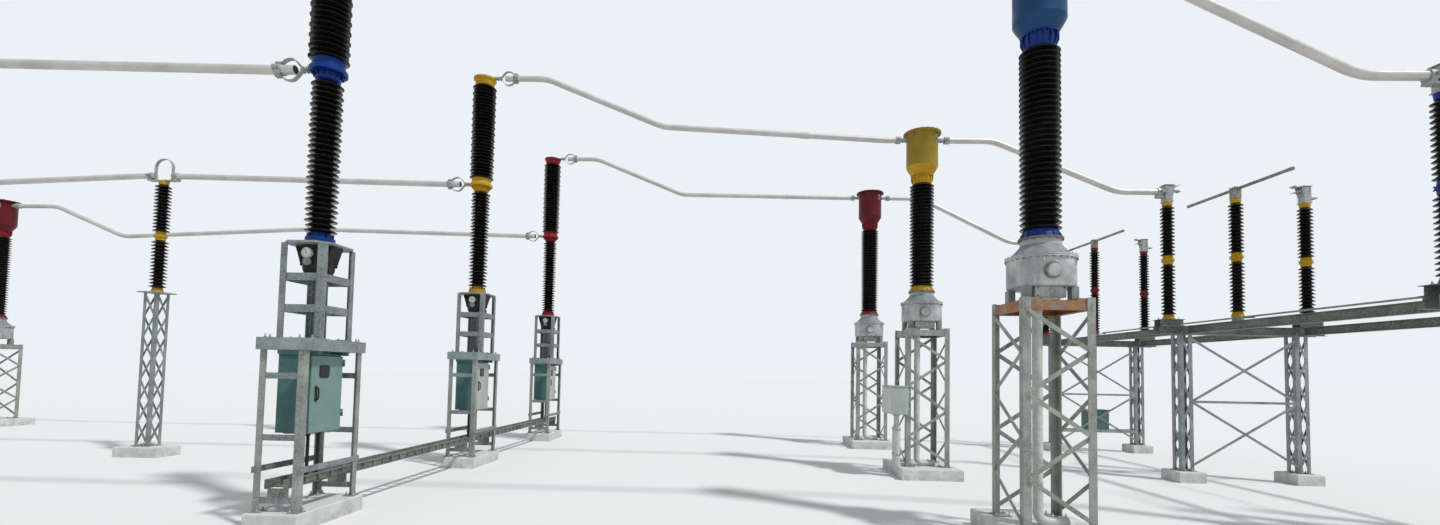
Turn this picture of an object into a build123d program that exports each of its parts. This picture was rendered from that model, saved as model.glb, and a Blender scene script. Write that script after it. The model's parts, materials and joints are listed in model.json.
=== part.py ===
"""Three-phase outdoor switchgear bay, built from the ground level up, in millimetres.

X runs along the bay, square to the access road that passes through it, and Y runs along
the road from the blue phase to the red phase. Z is up. The origin is on the ground under
the middle of the yellow phase's circuit breaker. From left to right each phase has a
current transformer, a post insulator, a live-tank circuit breaker, a second current
transformer and a double-break disconnector, joined by aluminium tubes.
"""

import os
from math import cos, radians, sin

from build123d import *

os.makedirs("parts", exist_ok=True)

# Layout of the bay
PHASE_SPACING = 4500
LEFT_CT_X = -15700
POST_X = -6530
BREAKER_X = 0
RIGHT_CT_X = 8720
DISCONNECTOR_X = 14690
DISCONNECTOR_SPACING = 1290

# Concrete plinths, each with its margin around the steelwork that it carries
PLINTH_TOP = 200
PLINTH_CHAMFER = 15
BREAKER_PLINTH_MARGIN_X = 50
BREAKER_PLINTH_MARGIN_Y = 75
CT_PLINTH_MARGIN_X = 150
CT_PLINTH_MARGIN_Y = 300
POST_PLINTH_MARGIN_X = 300
POST_PLINTH_MARGIN_Y = 130
DISCONNECTOR_PLINTH_MARGIN = 130
FOOT_PLATE_THICK = 12
FOOT_OVERHANG = 30

# Circuit breaker stand
BREAKER_FRAME_X = 520
LOWER_FRAME_Y = 1030
UPPER_FRAME_Y = 580
BREAKER_ANGLE = 75
BREAKER_ANGLE_THICK = 10
BREAKER_FOOT = 130
FLAT_BAR_WIDTH = 70
FLAT_BAR_THICK = 8
LOWER_END_BAR_HEIGHTS = (335, 1037, 1735)
LOWER_SIDE_BAR_HEIGHT = 675
SIDE_BAR_OVERHANG = 30
RING_BOTTOM = 2030
RING_DEPTH = 140
RING_FLANGE = 60
RING_THICK = 8
RING_OVERHANG_X = 20
RING_OVERHANG_Y = 45
UPPER_BAR_WIDTH = 90
UPPER_BAR_HEIGHTS = (2530, 2905)
TOP_PLATE_BOTTOM = 3308
TOP_PLATE_THICK = 22
TOP_PLATE_OVERHANG = 35
TOP_PLATE_CORNER = 130

# Circuit breaker pole
BREAKER_BASE_FLANGE_HEIGHT = 150
SUPPORT_LENGTH = 1890
MID_FLANGE_HEIGHT = 270
INTERRUPTER_LENGTH = 1890
BREAKER_CAP_HEIGHT = 158
SUPPORT_CORE_R = 95
SUPPORT_SHED_R = 178
INTERRUPTER_CORE_R = 140
INTERRUPTER_SHED_R = 225
BREAKER_SHEDS = 29
BASE_FLANGE_R = 160
BASE_FLANGE_STEP = 85
BASE_NECK_R = 120
MID_NECK_R = 139
MID_NECK_LIP = 20
MID_RIM_R = 212
MID_RIM_HEIGHT = 40
MID_CONE_HEIGHT = 50
MID_COLLAR_R = 178
MID_COLLAR_HEIGHT = 65
CAP_FOOT_R = 170
CAP_SHOULDER_R = 200
CAP_DISC_R = 215
CAP_DISC_HEIGHT = 35
CRANK_HOUSING_R = 170
CRANK_HOUSING_HEIGHT = 380
CRANK_HOUSING_ROUNDING = 120
DRIVE_COLUMN_WIDTH = 160
DRIVE_COLUMN_CORNER = 12
GAUGE_R = 65
GAUGE_DEPTH = 45
GAUGE_DROP = 105
GAUGE_STANDOFF = 15
VALVE_R = 50
VALVE_DROP = 105

# Control cabinet of the breaker
CABINET_BOTTOM = 1065
CABINET_HEIGHT = 920
CABINET_DEPTH = 380
CABINET_WIDTH = 545
CABINET_X = -40
CABINET_WALL = 8
HANGER_WIDTH = 40
DOOR_TRIM = 10
DOOR_GAP = 5
DOOR_THICK = 22
DOOR_HINGE_HEIGHTS = (1230, 1850)
KNUCKLE_R = 9
KNUCKLE_LENGTH = 45
KNUCKLE_CLEARANCE = 0.3
HINGE_LEAF = 4
HANDLE_REACH = 45
HANDLE_LENGTH = 150
HANDLE_THICK = 20

# Cable tray through the three breaker stands
TRAY_X = 20
TRAY_BOTTOM = 470
TRAY_WIDTH = 240
TRAY_DEPTH = 105
TRAY_RAIL = 26
TRAY_THICK = 6
TRAY_RIB = 14
TRAY_OVERHANG = 40
RUNG_SPACING = 220
RUNG_WIDTH = 40
RUNG_THICK = 20

# Current transformers
CT_TOWER_SIDE = 800
CT_TOWER_TOP = 2780
CT_ANGLE = 90
CT_ANGLE_THICK = 10
CT_FOOT = 200
CT_BRACE_PANELS = 5
LEFT_CT_PANELS = 4
LEFT_CT_DROP = 480
YELLOW_HEAD_DROP = 195
CT_BRACE_WIDTH = 50
CT_BRACE_THICK = 8
CT_FRAME_DROP = 30
CT_FRAME_DEPTH = 110
CT_FRAME_FLANGE = 60
CT_FRAME_THICK = 8
CT_RAIL_THICK = 24
CT_RAIL_WIDTH = 110
CT_RAIL_SPACING = 530
CT_FOOT_BLOCK = (80, 100, 150)
CT_FOOT_SPACING_Y = 400
CT_TANK_R = 370
CT_TANK_HEIGHT = 330
CT_RIM_OVERHANG = 18
CT_RIM_THICK = 35
CT_DOME_HEIGHT = 125
CT_RING_R = 225
CT_RING_HEIGHT = 95
CT_FLANGE_TOP_R = 190
CT_BOX = (400, 340, 130)
CT_PORT_R = 75
CT_PORT_X = 60
CT_FLANGE_R = 225
CT_FLANGE_HEIGHT = 105
CT_INSULATOR_LENGTH = 2200
CT_CORE_R = 165
CT_SHED_R = 213
CT_SHED_PITCH = 66.7
CT_NECK_HEIGHT = 65
CT_COLLAR_R = 211
CT_COLLAR_HEIGHT = 110
CT_CONE_HEIGHT = 160
CT_HEAD_R = 296
CT_HEAD_HEIGHT = 640
CT_CONE_FOOT_R = 203
CT_LID_R = 355
CT_LID_HEIGHT = 35
CT_TUBE_DROP = 130
CT_CABLE_PIPE = (-140, -190)
PIPE_R = 55
PIPE_BEND_R = 110
PIPE_ELBOW_X = 190
JUNCTION_BOX = (270, 770, 515)
JUNCTION_BOX_Y = -155
JUNCTION_BOX_BOTTOM = 1165
CONDUIT_HEIGHT = 725
CONDUIT_SPACING = 150
CONDUIT_Y = -270
CABLE_R = 30

# Post insulator stands and the post insulators that all stands share
POST_TOWER_SIDE = 270
POST_ANGLE = 60
POST_ANGLE_THICK = 6
POST_FOOT = 130
POST_BRACE_PANELS = 7
POST_BRACE_WIDTH = 40
POST_BRACE_THICK = 6
POST_PLATE_BOTTOM = 3250
POST_PLATE_THICK = 20
POST_PLATE_SIDE = 420
POST_UNIT_LENGTH = 965
POST_BASE_FLANGE = 90
POST_MID_FLANGE = 170
POST_CAP_HEIGHT = 80
POST_CORE_R = 66
POST_SHED_R = 138
DISCONNECTOR_SHED_R = 108
POST_SHEDS = 14
POST_FLANGE_R = 88
POST_RIM_OVERHANG = 14
POST_RIM_THICK = 16

# Disconnector
TOWER_SPACING = 2120
DISCONNECTOR_TOWER_SIDE = 230
DISCONNECTOR_TOWER_TOP = 2760
DISCONNECTOR_ANGLE = 70
DISCONNECTOR_FOOT = 110
DISCONNECTOR_BRACE_PANELS = 6
DISCONNECTOR_BRACE_WIDTH = 45
TOWER_CAP_THICK = 12
TOWER_CAP_OVERHANG = 20
BEAM_DEPTH = 150
BEAM_FLANGE = 70
BEAM_THICK = 8
BEAM_GAP = 160
BEAM_OVERHANG = 230
STOOL_HEIGHT = 130
STOOL_LENGTH = 420
STOOL_THICK = 8
ROTOR_LIFT = 75
BEARING_PLATE_THICK = 14
BEARING_R = 90
SHAFT_R = 30
SHAFT_CLEARANCE = 2
SHAFT_STUB = 110
PIVOT_GAP = 0.3
ROTOR_PLATE_THICK = 34
CRANK_RADIUS = 220
CRANK_WIDTH = 60
CRANK_THICK = 14
CRANK_REST_ANGLE = -45
ROD_R = 17
ROD_LIFT = 6
ROD_OVERHANG = 80
ROD_PIN_R = 12
CONTACT_BODY = 150
JAW_LENGTH = 150
JAW_WIDTH = 120
JAW_THICK = 14
JAW_GAP = 8
JAW_FLARE = 45
JAW_FLARE_RISE = 25
BLADE_R = 30
BLADE_LIFT = 190
BLADE_CLEARANCE = 10
BLADE_HUB = (130, 170)
PAD_LENGTH = 130
CT_PAD_LENGTH = 100
PAD_WIDTH = 110
PAD_THICK = 24
PAD_HOLE_R = 7
PAD_HOLE_SPACING = 50
DRIVE_BOX = (560, 300, 500)
DRIVE_BOX_BOTTOM = 590
DRIVE_BOX_SETBACK = 45
DRIVE_BOX_CORNER = 20
DRIVE_BAR = (40, 80)
DRIVE_BAR_SPACING = 190

# Conductor tubes and their clamps
TUBE_R = 57
TUBE_BEND_R = 900
ROAD_BEND_Z = 6735
LEFT_DIP_Z = 5380
LEVEL_END = 280
DISCONNECTOR_TUBE_Z = 5520
ROAD_BEND_X = (1250, 3620)
RIGHT_BEND_X = (10080, 12450)
LEFT_BEND_X = (-14100, -12100)
CLAMP_WALL = 15
CLAMP_LENGTH = 70
CLAMP_WIDTH = 110
TERMINAL_THICK = 24
TERMINAL_WIDTH = 100
LUG_THICK = 20
LOOP_R = 145
LOOP_THICK = 20
LOOP_WIDTH = 60
LOOP_X = 480
LOOP_TAB = 40
TUBE_IN_LOOP = 60
SLEEVE_LENGTH = 90
ARCH_TOP = 6000
ARCH_SPAN = 370
ARCH_THICK = 12
ARCH_WIDTH = 60
SADDLE_THICK = 14
SADDLE_LENGTH = 600

# Heights and places that follow from the sizes above
PHASES = ("blue", "yellow", "red")
PHASE_Y = {"blue": -PHASE_SPACING, "yellow": 0, "red": PHASE_SPACING}
ALL_Y = tuple(PHASE_Y.values())
OUTER_X = (DISCONNECTOR_X - DISCONNECTOR_SPACING, DISCONNECTOR_X + DISCONNECTOR_SPACING)
TOWER_X = (DISCONNECTOR_X - TOWER_SPACING / 2, DISCONNECTOR_X + TOWER_SPACING / 2)
RING_TOP = RING_BOTTOM + RING_DEPTH
TOP_PLATE_TOP = TOP_PLATE_BOTTOM + TOP_PLATE_THICK
SUPPORT_BOTTOM = TOP_PLATE_TOP + BREAKER_BASE_FLANGE_HEIGHT
SUPPORT_TOP = SUPPORT_BOTTOM + SUPPORT_LENGTH
INTERRUPTER_BOTTOM = SUPPORT_TOP + MID_FLANGE_HEIGHT
INTERRUPTER_TOP = INTERRUPTER_BOTTOM + INTERRUPTER_LENGTH
BREAKER_CAP_TOP = INTERRUPTER_TOP + BREAKER_CAP_HEIGHT
MID_RIM_TOP = INTERRUPTER_BOTTOM - MID_COLLAR_HEIGHT - MID_CONE_HEIGHT
HIGH_TUBE_Z = BREAKER_CAP_TOP + TERMINAL_THICK / 2
LOW_TUBE_Z = MID_RIM_TOP + TERMINAL_THICK / 2
CABINET_TOP = CABINET_BOTTOM + CABINET_HEIGHT
TRAY_SEAT = LOWER_END_BAR_HEIGHTS[0] + FLAT_BAR_WIDTH / 2
CT_FRAME_TOP = CT_TOWER_TOP - CT_FRAME_DROP
CT_RAIL_TOP = CT_FRAME_TOP + CT_RAIL_THICK
CT_TANK_BOTTOM = CT_RAIL_TOP + CT_FOOT_BLOCK[2]
CT_TANK_TOP = CT_TANK_BOTTOM + CT_TANK_HEIGHT
CT_DOME_TOP = CT_TANK_TOP + CT_RIM_THICK + CT_DOME_HEIGHT
CT_RING_TOP = CT_DOME_TOP + CT_RING_HEIGHT
CT_INSULATOR_BOTTOM = CT_RING_TOP + CT_FLANGE_HEIGHT
CT_INSULATOR_TOP = CT_INSULATOR_BOTTOM + CT_INSULATOR_LENGTH
CT_COLLAR_BOTTOM = CT_INSULATOR_TOP + CT_NECK_HEIGHT
CT_CONE_BOTTOM = CT_COLLAR_BOTTOM + CT_COLLAR_HEIGHT
CT_HEAD_BOTTOM = CT_CONE_BOTTOM + CT_CONE_HEIGHT
CT_LID_BOTTOM = CT_HEAD_BOTTOM + CT_HEAD_HEIGHT
CT_TUBE_Z = CT_LID_BOTTOM + CT_LID_HEIGHT - CT_TUBE_DROP
RIGHT_CT_DROP = {"blue": 0, "yellow": YELLOW_HEAD_DROP, "red": 0}
POST_PLATE_TOP = POST_PLATE_BOTTOM + POST_PLATE_THICK
BEAM_BOTTOM = DISCONNECTOR_TOWER_TOP + TOWER_CAP_THICK
BEAM_TOP = BEAM_BOTTOM + BEAM_DEPTH
BEAM_EDGE_Y = BEAM_GAP / 2 + BEAM_FLANGE
STOOL_TOP = BEAM_TOP + STOOL_HEIGHT
ROTOR_BASE = STOOL_TOP + ROTOR_LIFT
BEARING_TOP = ROTOR_BASE - ROTOR_PLATE_THICK
CRANK_BOTTOM = BEARING_TOP + PIVOT_GAP
DRIVE_BOX_TOP = DRIVE_BOX_BOTTOM + DRIVE_BOX[2]
CLAMP_R = TUBE_R + CLAMP_WALL


def spots(*x_values):
    """Ground points at these X values on the three phase lines."""
    return [(x, y, 0) for x in x_values for y in ALL_Y]


def ct_spots():
    """Places of everything on the tower tops, lower on the left of the bay."""
    return [(LEFT_CT_X, y, -LEFT_CT_DROP) for y in ALL_Y] + spots(RIGHT_CT_X)


def head_places(phase):
    """Places of the two current transformer heads of a phase."""
    return [
        (LEFT_CT_X, PHASE_Y[phase], -LEFT_CT_DROP),
        (RIGHT_CT_X, PHASE_Y[phase], -RIGHT_CT_DROP[phase]),
    ]


def copies(piece, places):
    """The piece placed at each of the places, kept as separate solids."""
    with BuildPart() as group:
        with Locations(*places):
            add(piece, clean=False)
    return group


def save(builder, name):
    """Label a finished sub-part and write it as a STEP file."""
    builder.part.label = name
    export_step(builder.part, f"parts/{name}.step")


def turned(outline):
    """A solid turned about Z from an outline of (radius, height) points."""
    with BuildPart() as piece:
        with BuildSketch(Plane.XZ):
            with BuildLine():
                Polyline((0, outline[0][1]), *outline, (0, outline[-1][1]), close=True)
            make_face()
        revolve(axis=Axis.Z)
    return piece.part


def shed_stack(bottom, length, core_r, shed_r, sheds, small=0.84):
    """A weather-shed insulator: large and small drip-edged cones in turn on a round core."""
    pitch = length / sheds
    small_r = core_r + small * (shed_r - core_r)
    outline = []
    for index in range(sheds):
        foot = bottom + index * pitch
        outline.append((core_r, foot))
        outline.append((small_r if index % 2 else shed_r, foot + 0.28 * pitch))
    outline.append((core_r, bottom + length))
    return turned(outline)


def flat_bar(start, end, width, thick, normal):
    """Add a flat bar from start to end whose wide side faces along normal."""
    run = Vector(*end) - Vector(*start)
    across = Vector(*normal).cross(run).normalized()
    with BuildSketch(Plane(origin=start, x_dir=across, z_dir=run)) as section:
        Rectangle(width, thick)
    extrude(section.sketch, amount=run.length, clean=False)


def corner_legs(size_x, size_y, leg, thick, bottom, top):
    """Add four upright angle irons with their heels on the corners of a rectangle."""
    inset = thick / 2
    with BuildSketch(Plane.XY.offset(bottom)) as section:
        for sx in (-1, 1):
            for sy in (-1, 1):
                heel_x = sx * size_x / 2
                heel_y = sy * size_y / 2
                with Locations((heel_x - sx * leg / 2, heel_y - sy * inset)):
                    Rectangle(leg, thick)
                with Locations((heel_x - sx * inset, heel_y - sy * leg / 2)):
                    Rectangle(thick, leg)
    extrude(section.sketch, amount=top - bottom)


def foot_plates(size_x, size_y, plate):
    """Add a square foot plate on the plinth under each of four corner legs."""
    with BuildSketch(Plane.XY.offset(PLINTH_TOP)) as plan:
        reach = 2 * FOOT_OVERHANG - plate
        with GridLocations(size_x + reach, size_y + reach, 2, 2):
            Rectangle(plate, plate)
    extrude(plan.sketch, amount=FOOT_PLATE_THICK)


def hoop(size_x, size_y, width, thick, height):
    """Add a rectangular hoop of flat bar inside a size, centred on a height."""
    with BuildSketch(Plane.XY.offset(height - width / 2)) as plan:
        Rectangle(size_x, size_y)
        Rectangle(size_x - 2 * thick, size_y - 2 * thick, mode=Mode.SUBTRACT)
    extrude(plan.sketch, amount=width)


def zigzag(side, leg, leg_thick, width, thick, bottom, top, panels, lap=0):
    """Add zigzag bracing to a square tower, its bars in turn on and behind the legs by lap."""
    reach = side / 2 - leg / 2
    step = (top - bottom) / panels
    for turn in range(4):
        normal = (round(cos(radians(90 * turn))), round(sin(radians(90 * turn))), 0)
        along = (-normal[1], normal[0])
        for panel in range(panels):
            outer = (panels - 1 - panel) % 2 == 0
            lean = -reach if outer else reach
            face = side / 2 - leg_thick / 2 + (lap if outer else -lap)
            foot_z = bottom + panel * step
            foot = (face * normal[0] - lean * along[0], face * normal[1] - lean * along[1], foot_z)
            head = (
                face * normal[0] + lean * along[0],
                face * normal[1] + lean * along[1],
                foot_z + step,
            )
            flat_bar(foot, head, width, thick, normal)


def channel(depth, flange, thick, length):
    """A channel along +X whose web stands on Y = 0, opening towards +Y, on Z = 0."""
    with BuildPart() as piece:
        with BuildSketch(Plane.YZ):
            with Locations((flange / 2, depth / 2)):
                Rectangle(flange, depth)
            with Locations((flange / 2 + thick, depth / 2)):
                Rectangle(flange, depth - 2 * thick, mode=Mode.SUBTRACT)
        extrude(amount=length)
    return piece.part


def tube_run(points, tube_r=TUBE_R, bend_r=TUBE_BEND_R):
    """A bent tube along points in a phase's XZ plane."""
    with BuildPart() as piece:
        with BuildLine(Plane.XZ) as route:
            FilletPolyline(*points, radius=bend_r)
        with BuildSketch(Plane(origin=route.line @ 0, z_dir=route.line % 0)):
            Circle(tube_r)
        sweep()
    return piece.part


def sleeve(start_x, tube_z):
    """Add a round clamp sleeve for a tube along X, from start_x on."""
    with BuildSketch(Plane.YZ.offset(start_x)) as section:
        with Locations((0, tube_z)):
            Circle(CLAMP_R)
            Circle(TUBE_R, mode=Mode.SUBTRACT)
    extrude(section.sketch, amount=SLEEVE_LENGTH)


def tube_clamp(seat_z, tube_z):
    """A saddle clamp round a tube at tube_z, standing on a seat, centred on X = 0."""
    with BuildPart() as piece:
        with BuildSketch(Plane.YZ.offset(-CLAMP_LENGTH / 2)):
            with Locations((0, tube_z)):
                Circle(CLAMP_R)
            with Locations((0, (seat_z + tube_z) / 2)):
                Rectangle(CLAMP_WIDTH, tube_z - seat_z)
            with Locations((0, tube_z)):
                Circle(TUBE_R, mode=Mode.SUBTRACT)
        extrude(amount=CLAMP_LENGTH)
    return piece.part


# Plinths
frame_foot = DISCONNECTOR_TOWER_SIDE + 2 * DISCONNECTOR_PLINTH_MARGIN
plinth_sizes = (
    (
        BREAKER_FRAME_X + 2 * BREAKER_PLINTH_MARGIN_X,
        LOWER_FRAME_Y + 2 * BREAKER_PLINTH_MARGIN_Y,
        spots(BREAKER_X),
    ),
    (
        CT_TOWER_SIDE + 2 * CT_PLINTH_MARGIN_X,
        CT_TOWER_SIDE + 2 * CT_PLINTH_MARGIN_Y,
        spots(LEFT_CT_X, RIGHT_CT_X),
    ),
    (
        POST_TOWER_SIDE + 2 * POST_PLINTH_MARGIN_X,
        POST_TOWER_SIDE + 2 * POST_PLINTH_MARGIN_Y,
        spots(POST_X),
    ),
    (frame_foot, frame_foot, spots(*TOWER_X)),
)
with BuildPart() as plinths:
    for size_x, size_y, places in plinth_sizes:
        with BuildSketch() as plan:
            with Locations(*places):
                Rectangle(size_x, size_y)
        extrude(plan.sketch, amount=PLINTH_TOP)
    chamfer(plinths.faces().group_by(Axis.Z)[-1].edges(), length=PLINTH_CHAMFER)
save(plinths, "plinths")

# Legs of the lower frames of the breaker stands
with BuildPart() as lower_legs:
    corner_legs(
        BREAKER_FRAME_X, LOWER_FRAME_Y, BREAKER_ANGLE, BREAKER_ANGLE_THICK, PLINTH_TOP, RING_BOTTOM
    )
    foot_plates(BREAKER_FRAME_X, LOWER_FRAME_Y, BREAKER_FOOT)
save(copies(lower_legs.part, spots(BREAKER_X)), "breaker_legs")

# Flat bars between those legs
bar_inset = BREAKER_ANGLE_THICK + FLAT_BAR_THICK / 2
end_face = LOWER_FRAME_Y / 2 - bar_inset
side_face = BREAKER_FRAME_X / 2 + FLAT_BAR_THICK / 2
end_reach = BREAKER_FRAME_X / 2 - BREAKER_ANGLE_THICK
side_reach = LOWER_FRAME_Y / 2 + SIDE_BAR_OVERHANG
with BuildPart() as lower_bars:
    for sign in (-1, 1):
        for height in LOWER_END_BAR_HEIGHTS:
            left = (-end_reach, sign * end_face, height)
            right = (end_reach, sign * end_face, height)
            flat_bar(left, right, FLAT_BAR_WIDTH, FLAT_BAR_THICK, (0, 1, 0))
        near = (sign * side_face, -side_reach, LOWER_SIDE_BAR_HEIGHT)
        far = (sign * side_face, side_reach, LOWER_SIDE_BAR_HEIGHT)
        flat_bar(near, far, FLAT_BAR_WIDTH, FLAT_BAR_THICK, (1, 0, 0))
save(copies(lower_bars.part, spots(BREAKER_X)), "breaker_frame_bars")

# Channel ring beams on the legs
ring_x = BREAKER_FRAME_X + 2 * RING_OVERHANG_X
ring_y = LOWER_FRAME_Y + 2 * RING_OVERHANG_Y
with BuildPart() as ring_beam:
    hoop(ring_x, ring_y, RING_DEPTH, RING_FLANGE, RING_BOTTOM + RING_DEPTH / 2)
    with BuildSketch(Plane.XY.offset(RING_BOTTOM + RING_THICK)) as inner:
        Rectangle(ring_x - 2 * RING_THICK, ring_y - 2 * RING_THICK)
    extrude(inner.sketch, amount=RING_DEPTH - 2 * RING_THICK, mode=Mode.SUBTRACT)
save(copies(ring_beam.part, spots(BREAKER_X)), "breaker_ring_beams")

# Upper frames of the breaker stands
with BuildPart() as upper_frame:
    corner_legs(
        BREAKER_FRAME_X, UPPER_FRAME_Y, BREAKER_ANGLE, BREAKER_ANGLE_THICK, RING_TOP, TOP_PLATE_BOTTOM
    )
    for height in UPPER_BAR_HEIGHTS:
        hoop(
            BREAKER_FRAME_X - 2 * BREAKER_ANGLE_THICK,
            UPPER_FRAME_Y - 2 * BREAKER_ANGLE_THICK,
            UPPER_BAR_WIDTH,
            FLAT_BAR_THICK,
            height,
        )
save(copies(upper_frame.part, spots(BREAKER_X)), "breaker_upper_frames")

# Octagonal top plates
with BuildPart() as top_plate:
    with BuildSketch(Plane.XY.offset(TOP_PLATE_BOTTOM)) as octagon:
        Rectangle(BREAKER_FRAME_X + 2 * TOP_PLATE_OVERHANG, UPPER_FRAME_Y + 2 * TOP_PLATE_OVERHANG)
        chamfer(octagon.vertices(), length=TOP_PLATE_CORNER)
    extrude(amount=TOP_PLATE_THICK)
save(copies(top_plate.part, spots(BREAKER_X)), "breaker_top_plates")

# Pot-shaped crank housings under the top plates
housing_bottom = TOP_PLATE_BOTTOM - CRANK_HOUSING_HEIGHT
with BuildPart() as crank_drive:
    with BuildSketch(Plane.XY.offset(housing_bottom)):
        Circle(CRANK_HOUSING_R)
    extrude(amount=CRANK_HOUSING_HEIGHT)
    fillet(crank_drive.faces().sort_by(Axis.Z)[0].edges(), radius=CRANK_HOUSING_ROUNDING)
save(copies(crank_drive.part, spots(BREAKER_X)), "crank_drives")

# Drive columns between the cabinets and the crank housings
with BuildPart() as drive_column:
    with BuildSketch(Plane.XY.offset(CABINET_TOP)):
        RectangleRounded(DRIVE_COLUMN_WIDTH, DRIVE_COLUMN_WIDTH, DRIVE_COLUMN_CORNER)
    extrude(amount=TOP_PLATE_BOTTOM - CABINET_TOP)
    add(crank_drive.part, mode=Mode.SUBTRACT)
save(copies(drive_column.part, spots(BREAKER_X)), "drive_columns")

# Gas gauges on the crank housings, each with its valve and stem
gauge_z = TOP_PLATE_BOTTOM - GAUGE_DROP
gauge_y = -CRANK_HOUSING_R - GAUGE_STANDOFF
with BuildPart() as gauge:
    with BuildSketch(Plane.XZ.offset(-gauge_y)):
        with Locations((0, gauge_z)):
            Circle(GAUGE_R)
        with Locations((0, gauge_z - VALVE_DROP)):
            Circle(VALVE_R)
    extrude(amount=GAUGE_DEPTH)
    with BuildSketch(Plane.XZ.offset(-gauge_y)):
        with Locations((0, gauge_z)):
            Circle(GAUGE_R / 3)
    extrude(amount=-(GAUGE_STANDOFF + GAUGE_R))
    add(crank_drive.part, mode=Mode.SUBTRACT)
save(copies(gauge.part, spots(BREAKER_X)), "gas_gauges")

# Insulators of the breaker poles
support = shed_stack(
    SUPPORT_BOTTOM, SUPPORT_LENGTH, SUPPORT_CORE_R, SUPPORT_SHED_R, BREAKER_SHEDS
)
save(copies(support, spots(BREAKER_X)), "support_insulators")
interrupter = shed_stack(
    INTERRUPTER_BOTTOM, INTERRUPTER_LENGTH, INTERRUPTER_CORE_R, INTERRUPTER_SHED_R, BREAKER_SHEDS
)
save(copies(interrupter, spots(BREAKER_X)), "interrupters")

# Hollow control cabinets hung under the ring beams, open towards the road
cabinet_front = CABINET_X + CABINET_DEPTH / 2
hinge_x = cabinet_front + DOOR_GAP + DOOR_THICK + KNUCKLE_R
hinge_y = CABINET_WIDTH / 2 + KNUCKLE_R + HINGE_LEAF
with BuildPart() as cabinet:
    with BuildSketch(Plane.XY.offset(CABINET_BOTTOM)):
        with Locations((CABINET_X, 0)):
            Rectangle(CABINET_DEPTH, CABINET_WIDTH)
    extrude(amount=CABINET_HEIGHT)
    with BuildSketch(Plane.XY.offset(CABINET_BOTTOM + CABINET_WALL)):
        with Locations((CABINET_X + CABINET_WALL, 0)):
            Rectangle(CABINET_DEPTH, CABINET_WIDTH - 2 * CABINET_WALL)
    extrude(amount=CABINET_HEIGHT - 2 * CABINET_WALL, mode=Mode.SUBTRACT)
    with BuildSketch(Plane.XY.offset(CABINET_TOP)):
        with GridLocations(0, CABINET_WIDTH - HANGER_WIDTH, 1, 2):
            Rectangle(ring_x - RING_FLANGE, HANGER_WIDTH)
    extrude(amount=RING_BOTTOM - CABINET_TOP)
    for height in DOOR_HINGE_HEIGHTS:
        with BuildSketch(Plane.XY.offset(height)):
            with Locations((hinge_x, hinge_y)):
                Circle(KNUCKLE_R)
            with Locations(((cabinet_front - KNUCKLE_LENGTH + hinge_x) / 2, hinge_y)):
                Rectangle(hinge_x - cabinet_front + KNUCKLE_LENGTH, HINGE_LEAF)
            with Locations((cabinet_front - KNUCKLE_LENGTH / 2, (hinge_y + CABINET_WIDTH / 2) / 2)):
                Rectangle(KNUCKLE_LENGTH, hinge_y - CABINET_WIDTH / 2)
        extrude(amount=KNUCKLE_LENGTH)
save(copies(cabinet.part, spots(BREAKER_X)), "cabinet_shells")

# Cabinet doors, each a panel with two hinge knuckles and a bow handle
door_x = cabinet_front + DOOR_GAP + DOOR_THICK / 2
leaf_x = door_x + DOOR_THICK / 2 + HINGE_LEAF / 2
handle_y = -CABINET_WIDTH / 2 + 80
handle_z = CABINET_BOTTOM + CABINET_HEIGHT / 2
with BuildPart() as door:
    with BuildSketch(Plane.XY.offset(CABINET_BOTTOM)):
        with Locations((door_x, 0)):
            Rectangle(DOOR_THICK, CABINET_WIDTH)
    extrude(amount=CABINET_HEIGHT - DOOR_TRIM)
    for height in DOOR_HINGE_HEIGHTS:
        with BuildSketch(Plane.XY.offset(height + KNUCKLE_LENGTH + KNUCKLE_CLEARANCE)) as leaf:
            with Locations((hinge_x, hinge_y)):
                Circle(KNUCKLE_R)
            with Locations((leaf_x, hinge_y - KNUCKLE_LENGTH / 2)):
                Rectangle(HINGE_LEAF, KNUCKLE_LENGTH)
        extrude(leaf.sketch, amount=KNUCKLE_LENGTH)
    grip_x = door_x + DOOR_THICK / 2 + HANDLE_REACH - HANDLE_THICK / 2
    with Locations((grip_x, handle_y, handle_z)):
        Box(HANDLE_THICK, HANDLE_THICK, HANDLE_LENGTH)
    post_x = door_x + DOOR_THICK / 2 + (HANDLE_REACH - HANDLE_THICK) / 2
    for sign in (-1, 1):
        with Locations((post_x, handle_y, handle_z + sign * (HANDLE_LENGTH - HANDLE_THICK) / 2)):
            Box(HANDLE_REACH - HANDLE_THICK, HANDLE_THICK, HANDLE_THICK)
for phase in PHASES:
    save(copies(door.part, [(BREAKER_X, PHASE_Y[phase], 0)]), f"cabinet_door_{phase}")

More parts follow.
